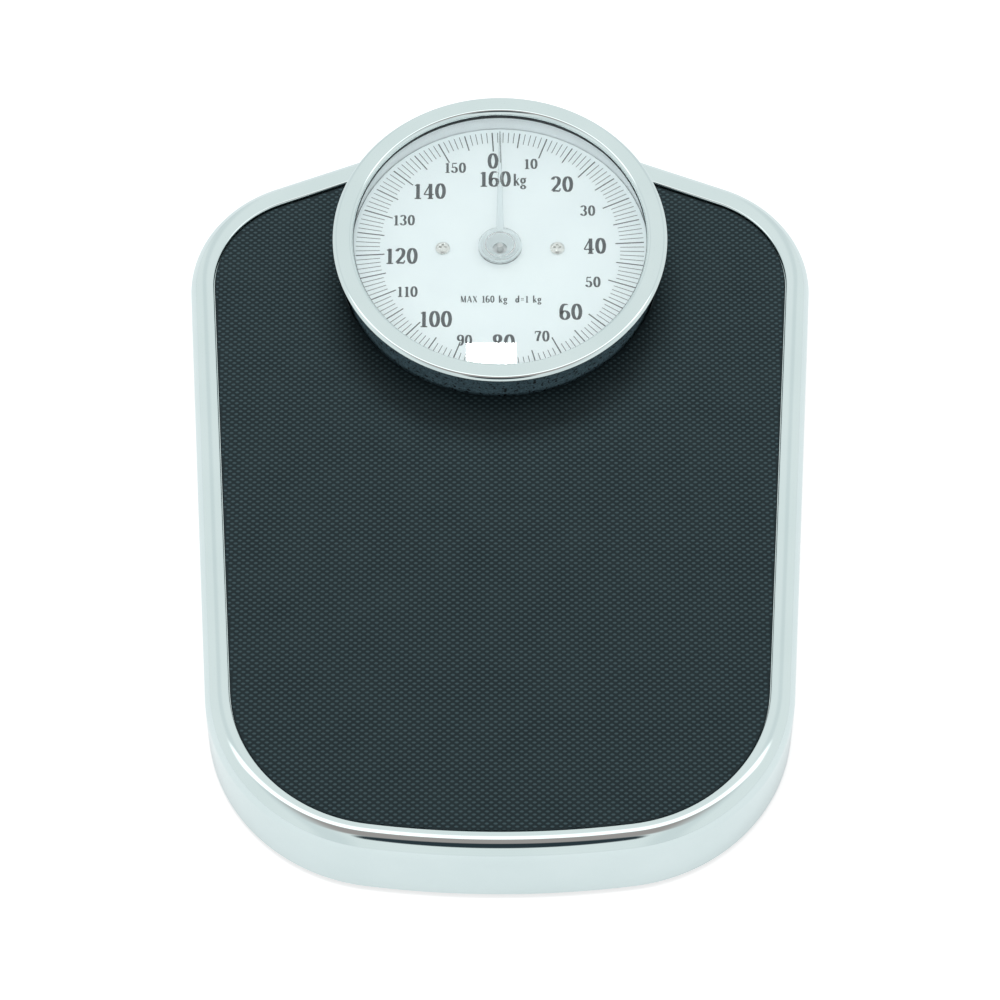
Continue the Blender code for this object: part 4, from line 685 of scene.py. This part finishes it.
# Dial housing: a deep drawn cup in black crinkle paint, screwed to the bridge inside the case.
# It stands through the platform's hole without touching it.
# Its rim leans to the front with the glass and the bezel.
housing_low, housing_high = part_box("dial_housing")
card_low, card_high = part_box("dial_card")
HOUSING_RADIUS = (housing_high.x - housing_low.x) / 2
HOUSING_WALL = 0.0015
LEAN = math.tan(math.radians(2.9))
HOUSING_TOP = housing_high.z - HOUSING_RADIUS * LEAN
CARD_BED = 0.0003
CARD_FLOOR = card_low.z - CARD_BED
FLOOR_SHEET = 0.0013
crinkle_paint = surface_finish(
    "black_crinkle_paint",
    (0.040, 0.078, 0.100),
    (0.125, 0.205, 0.240),
    900,
    (0.45, 0.62),
    grain=(1300, 0.0004),
)
crinkle_tree = crinkle_paint.node_tree
crinkle_shader = crinkle_tree.nodes["Principled BSDF"]
crinkle_colour = crinkle_shader.inputs["Base Color"].links[0].from_socket
SPECK_MARKS = 640
SPECK_EDGE = (0.68, 0.78)
specks = soft_step(crinkle_tree, clouds(crinkle_tree, SPECK_MARKS, 0.0, 1.0), *SPECK_EDGE)
crinkle_colour = blend_colours(crinkle_tree, specks, crinkle_colour, (0.004, 0.006, 0.008))
wire(crinkle_tree, crinkle_colour, crinkle_shader.inputs["Base Color"])
inner = HOUSING_RADIUS - HOUSING_WALL
CENTRE_HOLE = 0.008


def leant(shape):
    """The shape with what stands above the card leaning to the front."""
    for point in shape.verts:
        if point.co.z > card_high.z:
            point.co.z += (point.co.y - DIAL_Y) * LEAN
    return shape


cup = [
    (HOUSING_RADIUS, housing_low.z), (HOUSING_RADIUS, HOUSING_TOP), (inner, HOUSING_TOP), (inner, CARD_FLOOR),
    (CENTRE_HOLE, CARD_FLOOR), (CENTRE_HOLE, CARD_FLOOR - FLOOR_SHEET), (inner, CARD_FLOOR - FLOOR_SHEET),
    (inner, housing_low.z),
]
dial_cup = mesh_of("dial_cup", leant(turned(cup, 160)))
place("dial_cup", dial_cup, crinkle_paint, "base", "crinkle_black", "dial_housing")

# Dial card: white board printed in dark grey, held to the housing's floor by two small screws.
# Each mark is one kilogram.
# Marks and figures follow ovals inside the round card, turned a little to the left.
card_board = surface_finish(
    "white_card", (0.875, 0.955, 0.972), (0.905, 0.985, 0.995), 40, (0.55, 0.70), grain=(3000, 0.00004)
)
dress(card_board, "dial_card")
ink = surface_finish("grey_ink", (0.060, 0.072, 0.078), (0.080, 0.094, 0.100), 500, (0.45, 0.60))
INK_THICKNESS = 0.00004
INK_LEVEL = card_high.z + INK_THICKNESS
CARD_TURN = math.radians(-3.2)
KILOGRAMS = 160
MARK_OUTER = 0.0731
# Which kilograms a kind of mark counts, the oval of its inner ends (across, along) and its width.
MARK_KINDS = (
    (20, (0.0586, 0.0612), 0.00066),
    (10, (0.0576, 0.0605), 0.00064),
    (5, (0.0592, 0.0640), 0.00060),
    (1, (0.0609, 0.0667), 0.00034),
)


def oval(across, along, turn):
    """Radius of an oval, in the direction of a turn from the top of the dial."""
    return 1 / math.hypot(math.sin(turn) / across, math.cos(turn) / along)


def print_strip(shape, points, sides):
    """A printed stroke along points, as wide at each point as the offset to its two sides."""
    left = [shape.verts.new((x + dx, y + dy, INK_LEVEL)) for (x, y), (dx, dy) in zip(points, sides)]
    right = [shape.verts.new((x - dx, y - dy, INK_LEVEL)) for (x, y), (dx, dy) in zip(points, sides)]
    for i in range(len(points) - 1):
        shape.faces.new((left[i], right[i], right[i + 1], left[i + 1]))


marks = bmesh.new()
for kilogram in range(KILOGRAMS):
    turn = CARD_TURN + 2 * math.pi * kilogram / KILOGRAMS
    ends, width = next((ends, width) for count, ends, width in MARK_KINDS if kilogram % count == 0)
    inner_end = oval(*ends, turn)
    way = Vector((math.sin(turn), math.cos(turn)))
    aside = Vector((way.y, -way.x)) * width / 2
    centre = Vector((0, DIAL_Y))
    print_strip(marks, [centre + way * inner_end, centre + way * MARK_OUTER], [aside, aside])
place("dial_marks", mesh_of("dial_marks", marks), ink, "base", "card_white")

# Figures: drawn with a broad upright pen, so that upright strokes are thick and level strokes are thin.
# Each stroke is a list of points in a box one unit high. The card's words give only its range and step.
PEN = (0.092, 0.034)
HAIR = (0.036, 0.036)
BAR = (0.048, 0.054)


def loop(x, y, across, along, start, end, steps=20):
    """Points along part of an oval, between two turns in degrees."""
    turns = [math.radians(start + (end - start) * i / steps) for i in range(steps + 1)]
    return [(x + across * math.cos(a), y + along * math.sin(a)) for a in turns]


def dot(x, y, size=0.075):
    """A round drop of ink at the end of a stroke."""
    return (size, size * 0.9), [(x - 0.002, y), (x + 0.002, y)]


FIGURES = {
    "0": (0.56, [(PEN, loop(0.28, 0.5, 0.19, 0.47, 0, 360, 28))]),
    "1": (0.46, [
        (PEN, [(0.25, 0.03), (0.25, 0.95)]),
        (HAIR, [(0.24, 0.94), (0.19, 0.88), (0.09, 0.86)]),
        (HAIR, [(0.08, 0.03), (0.42, 0.03)]),
    ]),
    "2": (0.56, [
        (PEN, loop(0.27, 0.73, 0.175, 0.24, 165, -20, 16) + [(0.40, 0.50), (0.22, 0.25), (0.10, 0.08)]),
        (BAR, [(0.10, 0.06), (0.28, 0.07), (0.46, 0.05)]),
        (HAIR, [(0.46, 0.05), (0.50, 0.22)]),
        dot(0.14, 0.74),
    ]),
    "3": (0.56, [
        (PEN, loop(0.26, 0.745, 0.16, 0.23, 160, -90, 16)),
        (PEN, loop(0.26, 0.27, 0.19, 0.245, 90, -165, 18)),
        dot(0.13, 0.79, 0.07),
        dot(0.11, 0.23, 0.07),
    ]),
    "4": (0.58, [
        (PEN, [(0.39, 0.03), (0.39, 0.96)]),
        (HAIR, [(0.38, 0.95), (0.06, 0.28)]),
        (HAIR, [(0.05, 0.28), (0.56, 0.28)]),
        (HAIR, [(0.25, 0.03), (0.53, 0.03)]),
    ]),
    "5": (0.56, [
        (BAR, [(0.13, 0.93), (0.30, 0.92), (0.45, 0.94)]),
        (HAIR, [(0.13, 0.94), (0.12, 0.50)]),
        (PEN, loop(0.26, 0.30, 0.19, 0.275, 135, -165, 20)),
        dot(0.11, 0.22, 0.07),
    ]),
    "6": (0.56, [
        (PEN, loop(0.29, 0.5, 0.20, 0.47, 62, 200, 14)),
        (PEN, loop(0.28, 0.29, 0.19, 0.265, 0, 360, 24)),
        dot(0.41, 0.82, 0.065),
    ]),
    "7": (0.54, [
        (BAR, [(0.08, 0.92), (0.48, 0.93)]),
        (PEN, [(0.46, 0.90), (0.32, 0.52), (0.26, 0.25), (0.24, 0.04)]),
        (HAIR, [(0.08, 0.94), (0.06, 0.74)]),
    ]),
    "8": (0.56, [
        (PEN, loop(0.28, 0.745, 0.155, 0.225, 0, 360, 24)),
        (PEN, loop(0.28, 0.265, 0.19, 0.238, 0, 360, 24)),
    ]),
    "9": (0.56, [
        (PEN, loop(0.27, 0.5, 0.20, 0.47, 20, -118, 14)),
        (PEN, loop(0.28, 0.71, 0.19, 0.265, 0, 360, 24)),
        dot(0.15, 0.18, 0.065),
    ]),
    "k": (0.58, [
        (PEN, [(0.14, 0.03), (0.14, 1.02)]),
        (HAIR, [(0.15, 0.28), (0.47, 0.64)]),
        (PEN, [(0.25, 0.40), (0.47, 0.03)]),
        (HAIR, [(0.03, 0.03), (0.27, 0.03)]),
    ]),
    "g": (0.56, [
        (PEN, loop(0.25, 0.43, 0.15, 0.21, 0, 360, 20)),
        (HAIR, [(0.37, 0.58), (0.52, 0.66)]),
        (HAIR, [(0.19, 0.23), (0.14, 0.12), (0.24, 0.06), (0.40, 0.02)]),
        (PEN, loop(0.26, -0.12, 0.17, 0.14, 0, 360, 20)),
    ]),
    "M": (0.80, [
        (HAIR, [(0.12, 0.03), (0.12, 0.97)]),
        (PEN, [(0.14, 0.95), (0.39, 0.06)]),
        (HAIR, [(0.39, 0.06), (0.66, 0.95)]),
        (PEN, [(0.66, 0.03), (0.66, 0.97)]),
    ]),
    "A": (0.70, [
        (HAIR, [(0.08, 0.03), (0.34, 0.97)]),
        (PEN, [(0.34, 0.95), (0.60, 0.03)]),
        (HAIR, [(0.17, 0.34), (0.50, 0.34)]),
    ]),
    "X": (0.68, [(PEN, [(0.12, 0.96), (0.55, 0.04)]), (HAIR, [(0.56, 0.96), (0.10, 0.04)])]),
    "d": (0.60, [
        (PEN, loop(0.25, 0.32, 0.15, 0.29, 0, 360, 20)),
        (PEN, [(0.45, 0.03), (0.45, 1.02)]),
    ]),
    "=": (0.60, [(HAIR, [(0.10, 0.58), (0.50, 0.58)]), (HAIR, [(0.10, 0.36), (0.50, 0.36)])]),
    " ": (0.42, []),
}


def write_figures(shape, words, x, y, height, spacing=0.03, narrow=1.0):
    """Prints words about a middle point on the card, upright as the reader stands."""
    total = sum(FIGURES[letter][0] + spacing for letter in words) - spacing
    start = -total / 2
    for letter in words:
        width, strokes = FIGURES[letter]
        for (across, along), points in strokes:
            inked, sides = [], []
            for i, (px, py) in enumerate(points):
                before, after = points[max(i - 1, 0)], points[min(i + 1, len(points) - 1)]
                way = Vector((after[0] - before[0], after[1] - before[1])).normalized()
                aside = Vector((-way.y, way.x))
                reach = math.hypot(across * aside.x, along * aside.y)
                side_x = across**2 * aside.x / reach * height * narrow
                side_y = along**2 * aside.y / reach * height
                sides.append((side_x, side_y))
                inked.append((x + (start + px) * height * narrow, DIAL_Y + y + (py - 0.5) * height))
            print_strip(shape, inked, sides)
        start += width + spacing


LARGE_HEIGHT = 0.0098
LARGE_OVAL = (0.0490, 0.0559)
LONG_ACROSS = 0.0470
SMALL_HEIGHT = 0.0065
SMALL_OVAL = (0.0507, 0.0577)
SHIFT_LEFT = 0.0010
SHIFT_NEAR = 0.0012
figures = bmesh.new()
for kilogram in range(10, KILOGRAMS, 10):
    turn = CARD_TURN + 2 * math.pi * kilogram / KILOGRAMS
    large = kilogram % 20 == 0
    across, along = LARGE_OVAL if large else SMALL_OVAL
    if kilogram in (100, 140):
        across = LONG_ACROSS
    height = LARGE_HEIGHT if large else SMALL_HEIGHT
    middle = across * math.sin(turn) - SHIFT_LEFT, along * math.cos(turn) - SHIFT_NEAR
    write_figures(figures, str(kilogram), *middle, height, 0.05 if large else 0.06)
write_figures(figures, "0", -0.0036, 0.0551, LARGE_HEIGHT)
write_figures(figures, "160", -0.0026, 0.0437, LARGE_HEIGHT, 0.04)
write_figures(figures, "kg", 0.0102, 0.0431, 0.0074, 0.0, 0.82)
write_figures(figures, "MAX 160 kg  d=1 kg", 0.0005, -0.0308, 0.0042, 0.06, 0.90)
place("dial_figures", mesh_of("dial_figures", figures), ink, "base", "card_white")

# Spacer ring: a pale moulded plastic ring that stands on the housing's floor and holds the glass up.
# A faint painted glow on it lifts its inner wall out of the shade under the bezel; the ring is no lamp.
ring_low, ring_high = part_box("spacer_ring")
ring_outer = (ring_high.x - ring_low.x) / 2
RING_WALL = 0.0021
ring_top = ring_high.z - ring_outer * LEAN
ring_plastic = surface_finish(
    "pale_ring", (0.92, 0.965, 0.985), (0.94, 0.98, 0.995), 80, (0.30, 0.45), grain=(1500, 0.00006)
)
glowing_ring_shader = ring_plastic.node_tree.nodes["Principled BSDF"]
# Painted light: a faint glow that brightens the ring's shaded inner wall.
glowing_ring_shader.inputs["Emission Color"].default_value = (0.80, 0.95, 1.0, 1)
glowing_ring_shader.inputs["Emission Strength"].default_value = 0.02
ring = [
    (ring_outer, ring_low.z), (ring_outer, ring_top), (ring_outer - RING_WALL, ring_top),
    (ring_outer - RING_WALL, ring_low.z),
]
glass_ring = mesh_of("glass_ring", leant(turned(ring, 160)))
place("glass_ring", glass_ring, ring_plastic, "base", "ring_white", "spacer_ring")


# Pointer: a clear acrylic blade with a round hub, pushed on the pinion's shaft under a clear domed cap.
# A dark hairline is ruled under the blade's outer part. The cap is moulded with a flat flange round its foot.
def clear_finish(name, tint, bend, haze):
    """Clear plastic or glass that lets light through to what lies behind it."""
    material = bpy.data.materials.new(name)
    material.use_nodes = True
    tree = material.node_tree
    shader = tree.nodes["Principled BSDF"]
    shader.inputs["Base Color"].default_value = (*tint, 1)
    shader.inputs["Transmission Weight"].default_value = 1.0
    shader.inputs["IOR"].default_value = bend
    wire(tree, clouds(tree, 90, *haze), shader.inputs["Roughness"])
    rays = add_node(tree, "ShaderNodeLightPath")
    through = add_node(tree, "ShaderNodeBsdfTransparent")
    through.inputs["Color"].default_value = (*tint, 1)
    either = add_node(tree, "ShaderNodeMixShader")
    wire(tree, rays.outputs["Is Shadow Ray"], either.inputs["Fac"])
    wire(tree, shader.outputs["BSDF"], either.inputs[1])
    wire(tree, through.outputs["BSDF"], either.inputs[2])
    wire(tree, either.outputs["Shader"], tree.nodes["Material Output"].inputs["Surface"])
    return material


acrylic = clear_finish("clear_acrylic", (0.952, 0.969, 0.975), 1.49, (0.05, 0.08))
blade_low, blade_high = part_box("pointer")
HUB_RADIUS = (blade_high.x - blade_low.x) / 2
POINTER_REACH = blade_high.y - DIAL_Y
BLADE_ROOT = 0.0042
BLADE_TIP = 0.0009
BLADE_ROUND = 0.0004
root_turn = math.asin(BLADE_ROOT / 2 / HUB_RADIUS)
blade_plan = arc((0, DIAL_Y), HUB_RADIUS, math.pi / 2 + root_turn, 2.5 * math.pi - root_turn, 72)
blade_plan += [(BLADE_TIP / 2, DIAL_Y + POINTER_REACH), (-BLADE_TIP / 2, DIAL_Y + POINTER_REACH)]
blade = bmesh.new()
blade_base = blade.faces.new([blade.verts.new((x, y, blade_low.z)) for x, y in blade_plan])
raised = bmesh.ops.extrude_face_region(blade, geom=[blade_base])
raised_points = [item for item in raised["geom"] if isinstance(item, bmesh.types.BMVert)]
bmesh.ops.translate(blade, verts=raised_points, vec=(0, 0, blade_high.z - blade_low.z))
rim_edges = [edge for edge in blade.edges if abs(edge.verts[0].co.z - edge.verts[1].co.z) < 1e-6]
bmesh.ops.bevel(blade, geom=rim_edges, offset=BLADE_ROUND, segments=3, affect="EDGES")
place("pointer_blade", mesh_of("pointer_blade", blade), acrylic, "pointer", "clear_plastic", "pointer")
HAIR_WIDTH = 0.00030
HAIR_START = 0.052
HAIR_END = POINTER_REACH - 0.0003
HAIR_DEPTH = 0.00002
hairline = bmesh.new()
hair_plan = [(0.0, HAIR_START), (HAIR_WIDTH, HAIR_START), (HAIR_WIDTH, HAIR_END), (0.0, HAIR_END)]
hair_level = blade_low.z - HAIR_DEPTH
hairline.faces.new([hairline.verts.new((x, DIAL_Y + y, hair_level)) for x, y in hair_plan])
place("pointer_hairline", mesh_of("pointer_hairline", hairline), ink, "pointer", "clear_plastic")
cap_low, cap_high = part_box("pointer_cap")
CAP_RADIUS = (cap_high.x - cap_low.x) / 2
cap_rise = cap_high.z - cap_low.z
CAP_WALL = 0.0007
CAP_FOOT = 0.2


def dome_curve(radius, rise):
    """From the foot of a domed cap to its top."""
    turns = [math.pi / 2 * i / 14 for i in range(14)]
    swell = 1 - CAP_FOOT
    curve = [(radius * math.cos(a), cap_low.z + rise * (CAP_FOOT + swell * math.sin(a))) for a in turns]
    return [(radius, cap_low.z)] + curve + [(0, cap_low.z + rise)]


CAP_FLANGE = 0.0096
FLANGE_EDGE = 0.0003
FLANGE_TOP = 0.0005
FLANGE_ROUND = 0.0002
FLANGE_SLOPE = 0.0005
dome = dome_curve(CAP_RADIUS - CAP_WALL, cap_rise - CAP_WALL)[::-1]
dome += [(CAP_FLANGE, cap_low.z), (CAP_FLANGE, cap_low.z + FLANGE_EDGE)]
dome += [(CAP_FLANGE - FLANGE_ROUND, cap_low.z + FLANGE_TOP)]
dome += [(CAP_FLANGE - FLANGE_SLOPE, cap_low.z + CAP_FOOT * cap_rise)]
dome += dome_curve(CAP_RADIUS, cap_rise)[1:]
cap_acrylic = clear_finish("clear_cap_acrylic", (0.988, 0.992, 0.990), 1.49, (0.05, 0.08))
dome_mesh = mesh_of("pointer_dome", turned(dome, 72))
place("pointer_dome", dome_mesh, cap_acrylic, "pointer", "clear_plastic", "pointer_cap")

# Lens: a flat disc cut from clear sheet glass, laid on the spacer ring under the bezel's lip.
# It leans to the front with them.
lens_glass = clear_finish("lens_glass", (0.985, 0.995, 0.995), 1.45, (0.0, 0.012))
dress(lens_glass, "lens")

# Bezel: a brass ring spun to a flat crown with rounded edges, chrome plated, set on the housing's rim.
# A thin black rubber band lies round the glass above and below, under the ring's lip and inside the spacer.
bezel_low, bezel_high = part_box("bezel")
BEZEL_RADIUS = (bezel_high.x - bezel_low.x) / 2
WINDOW_RADIUS = 0.0742
COLLAR_RADIUS = HOUSING_RADIUS + 0.0007
SEAT_RADIUS = 0.0781
BEZEL_SHOULDER = 0.0030
SHOULDER_END = math.radians(35)
BEZEL_ROLL = 0.0024
CROWN_RISE = 0.00012
BEZEL_HEIGHT = 0.0077
BEZEL_SKIRT = 0.0020
SKIRT_ROUND = 0.0004
SKIRT_BEND = 0.0001
SEAT_GAP = 0.0003
FLAT_START = math.radians(86)
FLAT_END = math.radians(94)
bezel_bottom = HOUSING_TOP + SEAT_GAP
bezel_crest = bezel_bottom + BEZEL_HEIGHT
lens_low, lens_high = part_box("lens")
lens_top = lens_high.z - (lens_high.x - lens_low.x) / 2 * LEAN
lip = lens_top + SEAT_GAP
under = bezel_crest - BEZEL_SKIRT
bezel_top = bezel_crest - CROWN_RISE
shoulder_centre = BEZEL_RADIUS - BEZEL_SHOULDER * math.cos(SHOULDER_END)
roll_centre = WINDOW_RADIUS + BEZEL_ROLL
section = [(SEAT_RADIUS, bezel_bottom), (COLLAR_RADIUS, bezel_bottom), (COLLAR_RADIUS, under)]
section += [(BEZEL_RADIUS - SKIRT_ROUND, under), (BEZEL_RADIUS - SKIRT_BEND, under + SKIRT_BEND)]
section += [(BEZEL_RADIUS, under + SKIRT_ROUND)]
section += arc((shoulder_centre, bezel_top - BEZEL_SHOULDER), BEZEL_SHOULDER, SHOULDER_END, FLAT_START, 12)
for share in [i / 8 for i in range(1, 8)]:
    flat_radius = shoulder_centre + (roll_centre - shoulder_centre) * share
    section.append((flat_radius, bezel_top + CROWN_RISE * math.sin(math.pi * share)))
section += arc((roll_centre, bezel_top - BEZEL_ROLL), BEZEL_ROLL, FLAT_END, math.pi, 14)
section += [(WINDOW_RADIUS, lip), (SEAT_RADIUS, lip)]
place("bezel_ring", mesh_of("bezel_ring", leant(turned(section, 180))), chrome, "base", "chrome", "bezel")
gasket_rubber = surface_finish(
    "gasket_rubber", (0.020, 0.026, 0.030), (0.034, 0.042, 0.046), 300, (0.55, 0.75), grain=(2500, 0.00008)
)
GASKET_WALL = 0.00012
GASKET_FIT = 0.0001
GLASS_GAP = 0.00005
UPPER_BAND = 0.0011
LOWER_BAND = 0.0019
lens_bottom = lens_top - (lens_high.z - lens_low.z - (lens_high.x - lens_low.x) * LEAN)
ring_inner = ring_outer - RING_WALL
for name, radius, low, high in (
    ("lens_gasket", WINDOW_RADIUS - GASKET_FIT, lens_top + GLASS_GAP, lens_top + UPPER_BAND),
    ("lens_seat", ring_inner - GASKET_FIT, lens_bottom - LOWER_BAND, lens_bottom - GLASS_GAP),
):
    band = [(radius, low), (radius, high), (radius - GASKET_WALL, high), (radius - GASKET_WALL, low)]
    place(name, mesh_of(name, leant(turned(band, 160))), gasket_rubber, "base", "foot_rubber")
